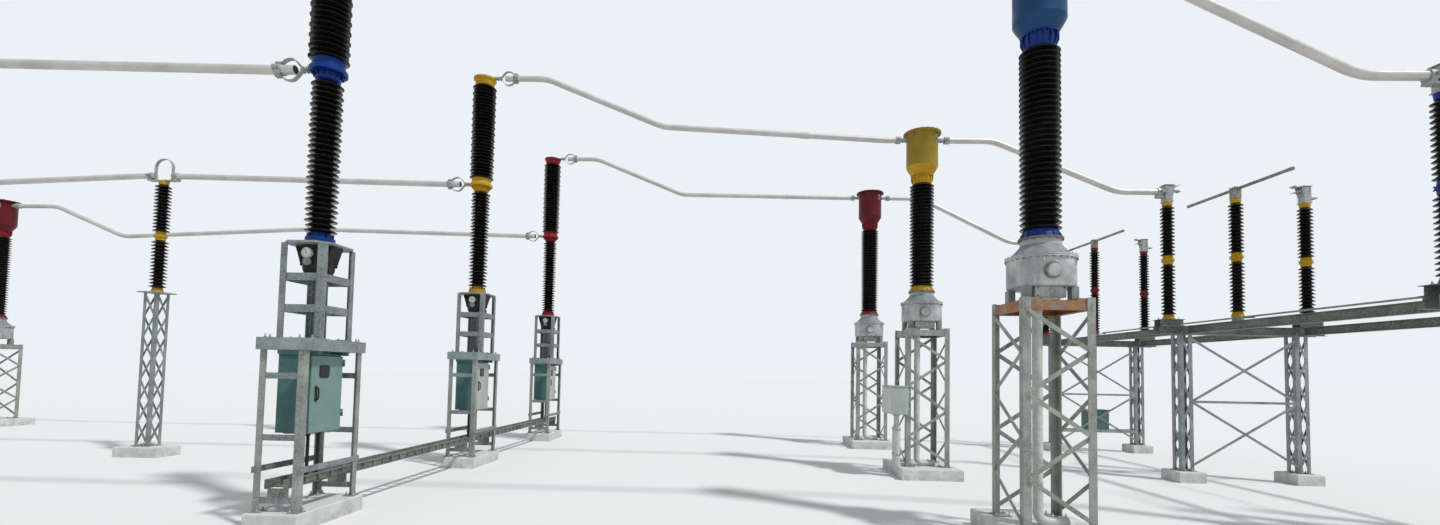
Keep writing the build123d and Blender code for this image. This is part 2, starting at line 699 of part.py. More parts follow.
# Ladder tray for the control cables, its side rails ribbed and stood on the end bars
tray_end = PHASE_SPACING + LOWER_FRAME_Y / 2 + TRAY_OVERHANG
bays = int(2 * tray_end / RUNG_SPACING)
pocket_length = RUNG_SPACING - TRAY_RIB
pocket_depth = TRAY_RAIL - TRAY_THICK
with BuildPart() as cable_tray:
    with BuildSketch(Plane.XY.offset(TRAY_BOTTOM)) as rails:
        with Locations((TRAY_X, 0)):
            with GridLocations(TRAY_WIDTH - TRAY_RAIL, 0, 2, 1):
                Rectangle(TRAY_RAIL, 2 * tray_end)
    extrude(rails.sketch, amount=TRAY_DEPTH)
    for sign in (-1, 1):
        outer_face = TRAY_X + sign * TRAY_WIDTH / 2
        with BuildSketch(Plane.YZ.offset(outer_face)) as pockets:
            with Locations((0, TRAY_BOTTOM + TRAY_DEPTH / 2)):
                with GridLocations(RUNG_SPACING, 0, bays, 1):
                    Rectangle(pocket_length, TRAY_DEPTH - 2 * TRAY_RIB)
        extrude(pockets.sketch, amount=-sign * pocket_depth, mode=Mode.SUBTRACT)
    with BuildSketch(Plane.XY.offset(TRAY_BOTTOM + TRAY_THICK)) as steps:
        with Locations((TRAY_X, 0)):
            with GridLocations(0, RUNG_SPACING, 1, bays + 1):
                Rectangle(TRAY_WIDTH - 2 * pocket_depth, RUNG_WIDTH)
    extrude(steps.sketch, amount=RUNG_THICK)
    with BuildSketch(Plane.XY.offset(TRAY_SEAT)) as stools:
        with Locations(*[(TRAY_X, y) for y in ALL_Y]):
            with GridLocations(0, 2 * end_face, 1, 2):
                Rectangle(TRAY_WIDTH, FLAT_BAR_THICK)
    extrude(stools.sketch, amount=TRAY_BOTTOM - TRAY_SEAT)
save(cable_tray, "cable_tray")


def ct_tower(top, panels):
    """A lattice tower of a current transformer, with its foot plates."""
    with BuildPart() as piece:
        corner_legs(CT_TOWER_SIDE, CT_TOWER_SIDE, CT_ANGLE, CT_ANGLE_THICK, PLINTH_TOP, top)
        zigzag(
            CT_TOWER_SIDE,
            CT_ANGLE,
            CT_ANGLE_THICK,
            CT_BRACE_WIDTH,
            CT_BRACE_THICK,
            PLINTH_TOP + CT_ANGLE,
            top - CT_FRAME_DROP - CT_FRAME_DEPTH,
            panels,
            lap=(CT_ANGLE_THICK + CT_BRACE_THICK) / 2,
        )
        foot_plates(CT_TOWER_SIDE, CT_TOWER_SIDE, CT_FOOT)
    return piece.part


# Lattice towers of the current transformers, shorter on the left of the bay
with BuildPart() as ct_towers:
    with Locations(*spots(LEFT_CT_X)):
        add(ct_tower(CT_TOWER_TOP - LEFT_CT_DROP, LEFT_CT_PANELS), clean=False)
    with Locations(*spots(RIGHT_CT_X)):
        add(ct_tower(CT_TOWER_TOP, CT_BRACE_PANELS), clean=False)
save(ct_towers, "ct_towers")

# Channel frames inside the tower tops, with the rails and feet that carry the tanks
frame_side = CT_TOWER_SIDE - 2 * CT_ANGLE_THICK
foot_x, foot_y, foot_z = CT_FOOT_BLOCK
with BuildPart() as ct_top_frame:
    hoop(frame_side, frame_side, CT_FRAME_DEPTH, CT_FRAME_FLANGE, CT_FRAME_TOP - CT_FRAME_DEPTH / 2)
    with BuildSketch(Plane.XY.offset(CT_FRAME_TOP - CT_FRAME_DEPTH + CT_FRAME_THICK)) as inner:
        Rectangle(frame_side - 2 * CT_FRAME_THICK, frame_side - 2 * CT_FRAME_THICK)
    extrude(inner.sketch, amount=CT_FRAME_DEPTH - 2 * CT_FRAME_THICK, mode=Mode.SUBTRACT)
    with BuildSketch(Plane.XY.offset(CT_FRAME_TOP)) as rails:
        with GridLocations(CT_RAIL_SPACING, 0, 2, 1):
            Rectangle(CT_RAIL_WIDTH, frame_side)
    extrude(rails.sketch, amount=CT_RAIL_THICK)
    with BuildSketch(Plane.XY.offset(CT_RAIL_TOP)) as blocks:
        with GridLocations(CT_RAIL_SPACING, CT_FOOT_SPACING_Y, 2, 2):
            Rectangle(foot_x, foot_y)
            Rectangle(foot_x - 2 * CT_FRAME_THICK, foot_y - 2 * CT_FRAME_THICK, mode=Mode.SUBTRACT)
    extrude(blocks.sketch, amount=foot_z)
save(copies(ct_top_frame.part, ct_spots()), "ct_top_frames")

# Oil tanks with a bolted rim, a domed top, a port cover and a terminal box below
tank_body = turned(
    [
        (CT_TANK_R, CT_TANK_BOTTOM),
        (CT_TANK_R, CT_TANK_TOP),
        (CT_TANK_R + CT_RIM_OVERHANG, CT_TANK_TOP),
        (CT_TANK_R + CT_RIM_OVERHANG, CT_TANK_TOP + CT_RIM_THICK),
        (CT_TANK_R - CT_RIM_OVERHANG, CT_TANK_TOP + CT_RIM_THICK),
        (CT_RING_R + CT_RIM_OVERHANG, CT_DOME_TOP),
        (CT_RING_R, CT_DOME_TOP),
        (CT_RING_R, CT_RING_TOP),
    ]
)
box_x, box_y, box_z = CT_BOX
with BuildPart() as ct_tank:
    add(tank_body)
    with BuildSketch(Plane.XZ.offset(CT_TANK_R - CT_RIM_OVERHANG)) as port:
        with Locations((CT_PORT_X, (CT_TANK_BOTTOM + CT_TANK_TOP) / 2)):
            Circle(CT_PORT_R)
    extrude(port.sketch, amount=2 * CT_RIM_OVERHANG + CT_RIM_THICK)
    with BuildSketch(Plane.XY.offset(CT_TANK_BOTTOM - box_z)) as box:
        with Locations((0, -box_y / 2)):
            Rectangle(box_x, box_y)
    extrude(box.sketch, amount=box_z)
save(copies(ct_tank.part, ct_spots()), "ct_tanks")


def ct_stack(head_drop):
    """A stack of equal sheds, shorter by the drop of the head that it carries."""
    length = CT_INSULATOR_LENGTH - head_drop
    sheds = round(length / CT_SHED_PITCH)
    return shed_stack(CT_INSULATOR_BOTTOM, length, CT_CORE_R, CT_SHED_R, sheds, small=1)


# Insulators of the current transformers
with BuildPart() as ct_insulators:
    with Locations(*[(LEFT_CT_X, y, -LEFT_CT_DROP) for y in ALL_Y]):
        add(ct_stack(0), clean=False)
    for phase in PHASES:
        with Locations((RIGHT_CT_X, PHASE_Y[phase], 0)):
            add(ct_stack(RIGHT_CT_DROP[phase]), clean=False)
save(ct_insulators, "ct_insulators")

# Painted heads of the current transformers, one node for each phase colour
ct_head = turned(
    [
        (CT_CORE_R, CT_INSULATOR_TOP),
        (CT_CORE_R, CT_COLLAR_BOTTOM),
        (CT_COLLAR_R, CT_COLLAR_BOTTOM),
        (CT_COLLAR_R, CT_CONE_BOTTOM),
        (CT_CONE_FOOT_R, CT_CONE_BOTTOM),
        (CT_HEAD_R, CT_HEAD_BOTTOM),
        (CT_HEAD_R, CT_LID_BOTTOM),
        (CT_LID_R, CT_LID_BOTTOM),
        (CT_LID_R, CT_LID_BOTTOM + CT_LID_HEIGHT),
    ]
)
for phase in PHASES:
    save(copies(ct_head, head_places(phase)), f"ct_heads_{phase}")

# Upright pipes for the secondary cables, with the conduits of the junction box
pipe_x, pipe_y = CT_CABLE_PIPE
junction_x = RIGHT_CT_X - CT_TOWER_SIDE / 2 - CT_BRACE_THICK - JUNCTION_BOX[0] / 2
conduit_places = [(junction_x, CONDUIT_Y + sign * CONDUIT_SPACING / 2) for sign in (-1, 1)]
with BuildPart() as cable_pipes:
    for stand_x, drop in ((LEFT_CT_X, LEFT_CT_DROP), (RIGHT_CT_X, 0)):
        elbow_pipe = tube_run(
            [
                (PIPE_ELBOW_X, PLINTH_TOP + PIPE_R),
                (pipe_x, PLINTH_TOP + PIPE_R),
                (pipe_x, CT_TANK_BOTTOM - box_z - drop),
            ],
            PIPE_R,
            PIPE_BEND_R,
        )
        with Locations(*[(stand_x, y + pipe_y, 0) for y in ALL_Y]):
            add(elbow_pipe, clean=False)
    with BuildSketch(Plane.XY.offset(PLINTH_TOP)) as conduits:
        with Locations(*conduit_places):
            Circle(PIPE_R)
    extrude(conduits.sketch, amount=CONDUIT_HEIGHT)
    with BuildSketch(Plane.XY.offset(PLINTH_TOP + CONDUIT_HEIGHT)) as cables:
        with Locations(*conduit_places):
            Circle(CABLE_R)
    extrude(cables.sketch, amount=JUNCTION_BOX_BOTTOM - PLINTH_TOP - CONDUIT_HEIGHT)
save(cable_pipes, "cable_pipes")

# Junction box of the three current transformers, on the tower of the middle phase
with BuildPart() as ct_junction_box:
    with BuildSketch(Plane.XY.offset(JUNCTION_BOX_BOTTOM)):
        with Locations((junction_x, JUNCTION_BOX_Y)):
            Rectangle(JUNCTION_BOX[0], JUNCTION_BOX[1])
    extrude(amount=JUNCTION_BOX[2])
save(ct_junction_box, "ct_junction_box")

# Lattice towers of the post insulators
with BuildPart() as post_tower:
    corner_legs(
        POST_TOWER_SIDE, POST_TOWER_SIDE, POST_ANGLE, POST_ANGLE_THICK, PLINTH_TOP, POST_PLATE_BOTTOM
    )
    zigzag(
        POST_TOWER_SIDE,
        POST_ANGLE,
        POST_ANGLE_THICK,
        POST_BRACE_WIDTH,
        POST_BRACE_THICK,
        PLINTH_TOP + POST_ANGLE,
        POST_PLATE_BOTTOM - POST_BRACE_WIDTH,
        POST_BRACE_PANELS,
    )
    foot_plates(POST_TOWER_SIDE, POST_TOWER_SIDE, POST_FOOT)
    with BuildSketch(Plane.XY.offset(POST_PLATE_BOTTOM)) as plate:
        Rectangle(POST_PLATE_SIDE, POST_PLATE_SIDE)
    extrude(plate.sketch, amount=POST_PLATE_THICK)
save(copies(post_tower.part, spots(POST_X)), "post_towers")


def post_levels(base):
    """Heights on a two-unit post: foot, first unit, waist, second unit, cap and top."""
    first = base + POST_BASE_FLANGE
    waist = first + POST_UNIT_LENGTH
    second = waist + POST_MID_FLANGE
    cap = second + POST_UNIT_LENGTH
    return base, first, waist, second, cap, cap + POST_CAP_HEIGHT


def post_units(base, shed_r):
    """The two shed stacks of a post insulator."""
    levels = post_levels(base)
    return [
        shed_stack(foot, POST_UNIT_LENGTH, POST_CORE_R, shed_r, POST_SHEDS)
        for foot in (levels[1], levels[3])
    ]


def post_fittings(base):
    """The base flange, the middle flange pair and the cap of a post insulator."""
    foot, first, waist, second, cap, top = post_levels(base)
    rim_r = POST_FLANGE_R + POST_RIM_OVERHANG
    neck_r = POST_CORE_R + POST_RIM_OVERHANG
    middle = (waist + second) / 2
    base_flange = [(rim_r, foot), (rim_r, foot + POST_RIM_THICK), (neck_r, first)]
    waist_flange = [
        (neck_r, waist),
        (POST_FLANGE_R, middle - POST_RIM_THICK),
        (rim_r, middle - POST_RIM_THICK),
        (rim_r, middle + POST_RIM_THICK),
        (POST_FLANGE_R, middle + POST_RIM_THICK),
        (neck_r, second),
    ]
    crown = [(neck_r, cap), (POST_FLANGE_R, top - POST_RIM_THICK), (POST_FLANGE_R, top)]
    return [turned(outline) for outline in (base_flange, waist_flange, crown)]


# Shed stacks of the fixed post insulators
with BuildPart() as post_insulators:
    for unit in post_units(POST_PLATE_TOP, POST_SHED_R):
        with Locations(*spots(POST_X)):
            add(unit, clean=False)
save(post_insulators, "post_insulators")

with BuildPart() as disconnector_insulators:
    for unit in post_units(STOOL_TOP, DISCONNECTOR_SHED_R):
        with Locations(*spots(*OUTER_X)):
            add(unit, clean=False)
save(disconnector_insulators, "disconnector_insulators")

# Painted metal fittings of the fixed insulators, one node for each phase colour
breaker_base_flange = turned(
    [
        (BASE_FLANGE_R, TOP_PLATE_TOP),
        (BASE_FLANGE_R, TOP_PLATE_TOP + BASE_FLANGE_STEP),
        (BASE_NECK_R, TOP_PLATE_TOP + BASE_FLANGE_STEP),
        (SUPPORT_CORE_R + POST_RIM_OVERHANG, SUPPORT_BOTTOM),
    ]
)
breaker_mid_flange = turned(
    [
        (SUPPORT_CORE_R + POST_RIM_OVERHANG, SUPPORT_TOP),
        (MID_NECK_R, SUPPORT_TOP + MID_NECK_LIP),
        (MID_NECK_R, MID_RIM_TOP - MID_RIM_HEIGHT),
        (MID_RIM_R, MID_RIM_TOP - MID_RIM_HEIGHT),
        (MID_RIM_R, MID_RIM_TOP),
        (MID_COLLAR_R, MID_RIM_TOP + MID_CONE_HEIGHT),
        (MID_COLLAR_R, INTERRUPTER_BOTTOM),
    ]
)
breaker_cap = turned(
    [
        (CAP_FOOT_R, INTERRUPTER_TOP),
        (CAP_SHOULDER_R, BREAKER_CAP_TOP - CAP_DISC_HEIGHT),
        (CAP_DISC_R, BREAKER_CAP_TOP - CAP_DISC_HEIGHT),
        (CAP_DISC_R, BREAKER_CAP_TOP),
    ]
)
ct_flange = turned(
    [
        (CT_FLANGE_R, CT_RING_TOP),
        (CT_FLANGE_TOP_R, CT_INSULATOR_BOTTOM),
    ]
)
for phase in PHASES:
    phase_y = PHASE_Y[phase]
    with BuildPart() as flanges:
        for fitting in (breaker_base_flange, breaker_mid_flange, breaker_cap):
            with Locations((BREAKER_X, phase_y, 0)):
                add(fitting, clean=False)
        with Locations((LEFT_CT_X, phase_y, -LEFT_CT_DROP), (RIGHT_CT_X, phase_y, 0)):
            add(ct_flange, clean=False)
        for fitting in post_fittings(POST_PLATE_TOP):
            with Locations((POST_X, phase_y, 0)):
                add(fitting, clean=False)
        for fitting in post_fittings(STOOL_TOP):
            with Locations(*[(x, phase_y, 0) for x in OUTER_X]):
                add(fitting, clean=False)
    save(flanges, f"insulator_flanges_{phase}")

# Disconnector towers
with BuildPart() as disconnector_tower:
    corner_legs(
        DISCONNECTOR_TOWER_SIDE,
        DISCONNECTOR_TOWER_SIDE,
        DISCONNECTOR_ANGLE,
        POST_ANGLE_THICK,
        PLINTH_TOP,
        DISCONNECTOR_TOWER_TOP,
    )
    zigzag(
        DISCONNECTOR_TOWER_SIDE,
        DISCONNECTOR_ANGLE,
        POST_ANGLE_THICK,
        POST_BRACE_WIDTH,
        POST_BRACE_THICK,
        PLINTH_TOP + DISCONNECTOR_ANGLE,
        DISCONNECTOR_TOWER_TOP - POST_BRACE_WIDTH,
        DISCONNECTOR_BRACE_PANELS,
    )
    foot_plates(DISCONNECTOR_TOWER_SIDE, DISCONNECTOR_TOWER_SIDE, DISCONNECTOR_FOOT)
    with BuildSketch(Plane.XY.offset(DISCONNECTOR_TOWER_TOP)) as cap_plate:
        Rectangle(
            DISCONNECTOR_TOWER_SIDE + 2 * TOWER_CAP_OVERHANG,
            DISCONNECTOR_TOWER_SIDE + 2 * TOWER_CAP_OVERHANG,
        )
    extrude(cap_plate.sketch, amount=TOWER_CAP_THICK)
save(copies(disconnector_tower.part, spots(*TOWER_X)), "disconnector_towers")

# Crossed flat bars on the near faces of each pair of towers, with a bar between the crosses
brace_reach = TOWER_SPACING / 2 - DISCONNECTOR_TOWER_SIDE / 2 + DISCONNECTOR_ANGLE / 2
brace_y = -DISCONNECTOR_TOWER_SIDE / 2 - POST_BRACE_THICK / 2
brace_low = PLINTH_TOP + DISCONNECTOR_FOOT
brace_high = DISCONNECTOR_TOWER_TOP - DISCONNECTOR_ANGLE
brace_mid = (brace_low + brace_high) / 2
with BuildPart() as stand_bracing:
    for low, high in ((brace_low, brace_mid), (brace_mid, brace_high)):
        for start_z, end_z in ((low, high), (high, low)):
            flat_bar(
                (-brace_reach, brace_y, start_z),
                (brace_reach, brace_y, end_z),
                DISCONNECTOR_BRACE_WIDTH,
                POST_BRACE_THICK,
                (0, 1, 0),
            )
    flat_bar(
        (-brace_reach, brace_y, brace_mid),
        (brace_reach, brace_y, brace_mid),
        DISCONNECTOR_BRACE_WIDTH,
        POST_BRACE_THICK,
        (0, 1, 0),
    )
save(copies(stand_bracing.part, spots(DISCONNECTOR_X)), "disconnector_bracing")

# Base frames of two channels each, with stools for the outer posts and a bearing
beam_reach = DISCONNECTOR_SPACING + BEAM_OVERHANG
beam = channel(BEAM_DEPTH, BEAM_FLANGE, BEAM_THICK, 2 * beam_reach)
stool_side = channel(STOOL_HEIGHT, BEAM_FLANGE, STOOL_THICK, STOOL_LENGTH)
bore_r = SHAFT_R + SHAFT_CLEARANCE
with BuildPart() as base_frame:
    for turn, sign in ((0, 1), (180, -1)):
        beam_start = (-sign * beam_reach, sign * BEAM_GAP / 2, BEAM_BOTTOM)
        with Locations(Location(beam_start, (0, 0, turn))):
            add(beam, clean=False)
        for stool_x in (-DISCONNECTOR_SPACING, DISCONNECTOR_SPACING):
            stool_start = (stool_x - sign * STOOL_LENGTH / 2, sign * BEAM_GAP / 2, BEAM_TOP)
            with Locations(Location(stool_start, (0, 0, turn))):
                add(stool_side, clean=False)
    with BuildSketch(Plane.XY.offset(STOOL_TOP - STOOL_THICK)) as stool_tops:
        with GridLocations(2 * DISCONNECTOR_SPACING, 0, 2, 1):
            Rectangle(STOOL_LENGTH, BEAM_GAP)
    extrude(stool_tops.sketch, amount=STOOL_THICK, clean=False)
    with BuildSketch(Plane.XY.offset(BEAM_TOP)) as bearing_plate:
        Rectangle(2 * BEAM_EDGE_Y, 2 * BEAM_EDGE_Y)
        Circle(bore_r, mode=Mode.SUBTRACT)
    extrude(bearing_plate.sketch, amount=BEARING_PLATE_THICK)
    with BuildSketch(Plane.XY.offset(BEAM_TOP + BEARING_PLATE_THICK)) as bearing:
        Circle(BEARING_R)
        Circle(bore_r, mode=Mode.SUBTRACT)
    extrude(bearing.sketch, amount=BEARING_TOP - BEAM_TOP - BEARING_PLATE_THICK)
save(copies(base_frame.part, spots(DISCONNECTOR_X)), "disconnector_base_frames")

# Channel ties along the road between the base frames
tie = channel(BEAM_DEPTH, BEAM_FLANGE, BEAM_THICK, PHASE_SPACING - 2 * BEAM_EDGE_Y)
tie_places = [
    Location((x + BEAM_FLANGE / 2, y + BEAM_EDGE_Y, BEAM_BOTTOM), (0, 0, 90))
    for x in TOWER_X
    for y in ALL_Y[:-1]
]
save(copies(tie, tie_places), "disconnector_ties")

# Rotating middle posts, each with its shaft and crank, shed stacks and fittings
arm_angle = radians(CRANK_REST_ANGLE)
rotor_units = post_units(ROTOR_BASE, DISCONNECTOR_SHED_R)
rotor_fittings = post_fittings(ROTOR_BASE)
for phase in PHASES:
    centre = (DISCONNECTOR_X, PHASE_Y[phase], 0)
    with BuildPart() as rotor_insulator:
        for unit in rotor_units:
            with Locations(centre):
                add(unit, clean=False)
    save(rotor_insulator, f"rotor_insulator_{phase}")
    with BuildPart() as rotor_flanges:
        for fitting in rotor_fittings:
            with Locations(centre):
                add(fitting, clean=False)
    save(rotor_flanges, f"rotor_flanges_{phase}")
    shaft_bottom = DRIVE_BOX_TOP + PIVOT_GAP if phase == "red" else BEARING_TOP - SHAFT_STUB
    with BuildPart() as crank:
        with BuildSketch(Plane.XY.offset(shaft_bottom)) as shaft:
            Circle(SHAFT_R)
        extrude(shaft.sketch, amount=CRANK_BOTTOM - shaft_bottom)
        with BuildSketch(Plane.XY.offset(CRANK_BOTTOM)) as plate:
            Circle(BEARING_R)
        extrude(plate.sketch, amount=ROTOR_BASE - CRANK_BOTTOM)
        with BuildSketch(Plane.XY.offset(CRANK_BOTTOM)) as arm:
            with Locations(Location((0, 0, 0), (0, 0, CRANK_REST_ANGLE))):
                with Locations((CRANK_RADIUS / 2, 0)):
                    SlotCenterToCenter(CRANK_RADIUS, CRANK_WIDTH)
        extrude(arm.sketch, amount=CRANK_THICK)
    save(copies(crank.part, [centre]), f"rotor_crank_{phase}")

# Switch blades, each a tube through the hub on its middle post
rotor_top = post_levels(ROTOR_BASE)[-1]
blade_z = rotor_top + BLADE_LIFT
blade_reach = DISCONNECTOR_SPACING - CONTACT_BODY / 2 - BLADE_CLEARANCE
with BuildPart() as blade:
    with BuildSketch(Plane.XY.offset(rotor_top)):
        Rectangle(*BLADE_HUB)
    extrude(amount=blade_z + 2 * BLADE_R - rotor_top)
    with BuildSketch(Plane.XZ.offset(-blade_reach)) as tube_end:
        with Locations((0, blade_z)):
            Circle(BLADE_R)
    extrude(tube_end.sketch, amount=2 * blade_reach)
for phase in PHASES:
    save(copies(blade.part, [(DISCONNECTOR_X, PHASE_Y[phase], 0)]), f"disconnector_blade_{phase}")

# Contact heads on the outer posts, each with jaws above and below the closed blade
head_bottom = post_levels(STOOL_TOP)[-1]
jaw_offset = BLADE_R + JAW_GAP
pad_z = DISCONNECTOR_TUBE_Z - CLAMP_R - CLAMP_WALL - PAD_THICK
with BuildPart() as contact_head:
    with BuildSketch(Plane.XY.offset(head_bottom)):
        Rectangle(CONTACT_BODY, CONTACT_BODY)
    extrude(amount=blade_z + jaw_offset + 2 * JAW_THICK - head_bottom)
    jaw_root = -CONTACT_BODY / 2
    jaw_tip = jaw_root - JAW_LENGTH
    for sign in (-1, 1):
        near = blade_z + sign * jaw_offset
        far = near + sign * JAW_THICK
        with BuildSketch(Plane.XZ.offset(-JAW_WIDTH / 2)) as jaw:
            with BuildLine():
                Polyline(
                    (jaw_root, near),
                    (jaw_tip + JAW_FLARE, near),
                    (jaw_tip, near + sign * JAW_FLARE_RISE),
                    (jaw_tip, far + sign * JAW_FLARE_RISE),
                    (jaw_tip + JAW_FLARE, far),
                    (jaw_root, far),
                    close=True,
                )
            make_face()
        extrude(jaw.sketch, amount=JAW_WIDTH)
    with BuildSketch(Plane.XY.offset(pad_z)) as pad:
        with Locations(((CONTACT_BODY + PAD_LENGTH) / 2, 0)):
            Rectangle(PAD_LENGTH, PAD_WIDTH)
            with GridLocations(PAD_HOLE_SPACING, PAD_HOLE_SPACING, 2, 2):
                Circle(PAD_HOLE_R, mode=Mode.SUBTRACT)
    extrude(pad.sketch, amount=PAD_THICK)
contact_places = [Location((OUTER_X[0], y, 0), (0, 0, 180)) for y in ALL_Y]
contact_places += [Location((OUTER_X[1], y, 0)) for y in ALL_Y]
save(copies(contact_head.part, contact_places), "disconnector_contacts")

# Rod that turns the three middle posts together, with a pivot pin over each crank
rod_y = CRANK_RADIUS * sin(arm_angle)
rod_bottom = CRANK_BOTTOM + CRANK_THICK + ROD_LIFT
rod_half = PHASE_SPACING + ROD_OVERHANG
with BuildPart() as gang_rod:
    with BuildSketch(Plane.XZ.offset(rod_half)):
        with Locations((0, rod_bottom + ROD_R)):
            Circle(ROD_R)
    extrude(amount=-2 * rod_half)
    with BuildSketch(Plane.XY.offset(rod_bottom - ROD_LIFT + PIVOT_GAP)) as pins:
        with Locations(*[(0, y) for y in ALL_Y]):
            Circle(ROD_PIN_R)
    extrude(pins.sketch, amount=ROD_LIFT - PIVOT_GAP + ROD_R)
rod_x = DISCONNECTOR_X + CRANK_RADIUS * cos(arm_angle)
save(copies(gang_rod.part, [(rod_x, rod_y, 0)]), "gang_rod")

# Motor drive box of the disconnector, on two bars between the towers of the red phase
with BuildPart() as drive_box:
    with BuildSketch(Plane.XY.offset(DRIVE_BOX_BOTTOM)):
        with Locations((DISCONNECTOR_X, PHASE_SPACING + DRIVE_BOX_SETBACK)):
            RectangleRounded(DRIVE_BOX[0], DRIVE_BOX[1], DRIVE_BOX_CORNER)
    extrude(amount=DRIVE_BOX[2])
save(drive_box, "drive_box")

bar_width, bar_depth = DRIVE_BAR
with BuildPart() as drive_box_bars:
    with BuildSketch(Plane.XY.offset(DRIVE_BOX_BOTTOM - bar_depth)):
        with Locations((DISCONNECTOR_X, PHASE_SPACING)):
            with GridLocations(0, DRIVE_BAR_SPACING, 1, 2):
                Rectangle(TOWER_SPACING - DISCONNECTOR_TOWER_SIDE, bar_width)
    extrude(amount=bar_depth)
save(drive_box_bars, "drive_box_bars")

# Conductor tubes over the road, to the disconnector and along the left of the bay
ct_reach = CT_HEAD_R + PAD_LENGTH
post_top = post_levels(POST_PLATE_TOP)[-1]
post_tube_z = post_top + SADDLE_THICK + CLAMP_WALL + CLAMP_R
post_tube_reach = ARCH_SPAN / 2
loop_end = LOOP_X - TUBE_IN_LOOP
with BuildPart() as tubes_over_road:
    for phase in PHASES:
        head_z = CT_TUBE_Z - RIGHT_CT_DROP[phase]
        over_road = tube_run(
            [
                (loop_end, HIGH_TUBE_Z),
                (ROAD_BEND_X[0], HIGH_TUBE_Z),
                (ROAD_BEND_X[1], ROAD_BEND_Z),
                (RIGHT_CT_X - ct_reach - LEVEL_END, head_z),
                (RIGHT_CT_X - ct_reach, head_z),
            ]
        )
        with Locations((0, PHASE_Y[phase], 0)):
            add(over_road, clean=False)
save(tubes_over_road, "tubes_over_road")

with BuildPart() as tubes_to_disconnector:
    for phase in PHASES:
        head_z = CT_TUBE_Z - RIGHT_CT_DROP[phase]
        to_disconnector = tube_run(
            [
                (RIGHT_CT_X + ct_reach, head_z),
                (RIGHT_BEND_X[0], head_z),
                (RIGHT_BEND_X[1], DISCONNECTOR_TUBE_Z),
                (OUTER_X[0] - CONTACT_BODY / 2 - CLAMP_WALL, DISCONNECTOR_TUBE_Z),
            ]
        )
        with Locations((0, PHASE_Y[phase], 0)):
            add(to_disconnector, clean=False)
save(tubes_to_disconnector, "tubes_to_disconnector")

left_run = tube_run(
    [
        (LEFT_CT_X + ct_reach, CT_TUBE_Z - LEFT_CT_DROP),
        (LEFT_BEND_X[0], CT_TUBE_Z - LEFT_CT_DROP),
        (LEFT_BEND_X[1], LEFT_DIP_Z),
        (POST_X - post_tube_reach - LEVEL_END, post_tube_z),
        (POST_X - post_tube_reach, post_tube_z),
    ]
)
breaker_run = tube_run(
    [
        (POST_X + post_tube_reach, post_tube_z),
        (POST_X + post_tube_reach + LEVEL_END, post_tube_z),
        (BREAKER_X - loop_end - LEVEL_END, LOW_TUBE_Z),
        (BREAKER_X - loop_end, LOW_TUBE_Z),
    ]
)
with BuildPart() as tubes_left:
    for run in (left_run, breaker_run):
        with Locations(*spots(0)):
            add(run, clean=False)
save(tubes_left, "tubes_left")

# Flat terminals of the breakers, on the caps and on the middle flanges
terminal_reach = LOOP_X - LOOP_R - LOOP_TAB
with BuildPart() as breaker_terminal:
    with BuildSketch(Plane.XY.offset(BREAKER_CAP_TOP)) as high_terminal:
        with Locations((terminal_reach / 2, 0)):
            Rectangle(terminal_reach, TERMINAL_WIDTH)
    extrude(high_terminal.sketch, amount=TERMINAL_THICK)
    with BuildSketch(Plane.XY.offset(MID_RIM_TOP)) as low_terminal:
        with Locations((-terminal_reach / 2, 0)):
            Rectangle(terminal_reach, TERMINAL_WIDTH)
    extrude(low_terminal.sketch, amount=TERMINAL_THICK)
    add(breaker_mid_flange, mode=Mode.SUBTRACT)
save(copies(breaker_terminal.part, spots(BREAKER_X)), "breaker_terminals")


def expansion_ring(tube_z):
    """A ring right of the breaker whose sleeve holds the end of a tube at tube_z."""
    with BuildPart() as ring:
        with BuildSketch(Plane.XZ.offset(-LOOP_WIDTH / 2)) as straps:
            with Locations((LOOP_X, tube_z)):
                Circle(LOOP_R)
                Circle(LOOP_R - LOOP_THICK, mode=Mode.SUBTRACT)
        extrude(straps.sketch, amount=LOOP_WIDTH)
        with BuildSketch(Plane.XZ.offset(-LOOP_WIDTH / 2)) as palm:
            with Locations((LOOP_X - LOOP_R - LOOP_TAB / 2 + LOOP_THICK / 4, tube_z)):
                Rectangle(LOOP_TAB + LOOP_THICK / 2, TERMINAL_THICK)
        extrude(palm.sketch, amount=LOOP_WIDTH)
        with BuildSketch(Plane.YZ.offset(LOOP_X - TUBE_IN_LOOP)) as bore:
            with Locations((0, tube_z)):
                Circle(TUBE_R)
        extrude(bore.sketch, amount=LOOP_R + SLEEVE_LENGTH, mode=Mode.SUBTRACT)
        sleeve(LOOP_X + LOOP_R - 2 * LOOP_THICK, tube_z)
    return ring.part


# Expansion rings on those terminals, each two bulging straps with a sleeve round the tube
with BuildPart() as expansion_loops:
    with Locations(*spots(BREAKER_X)):
        add(expansion_ring(HIGH_TUBE_Z), clean=False)
    with Locations(*[Location((BREAKER_X, y, 0), (0, 0, 180)) for y in ALL_Y]):
        add(expansion_ring(LOW_TUBE_Z), clean=False)
save(expansion_loops, "expansion_loops")

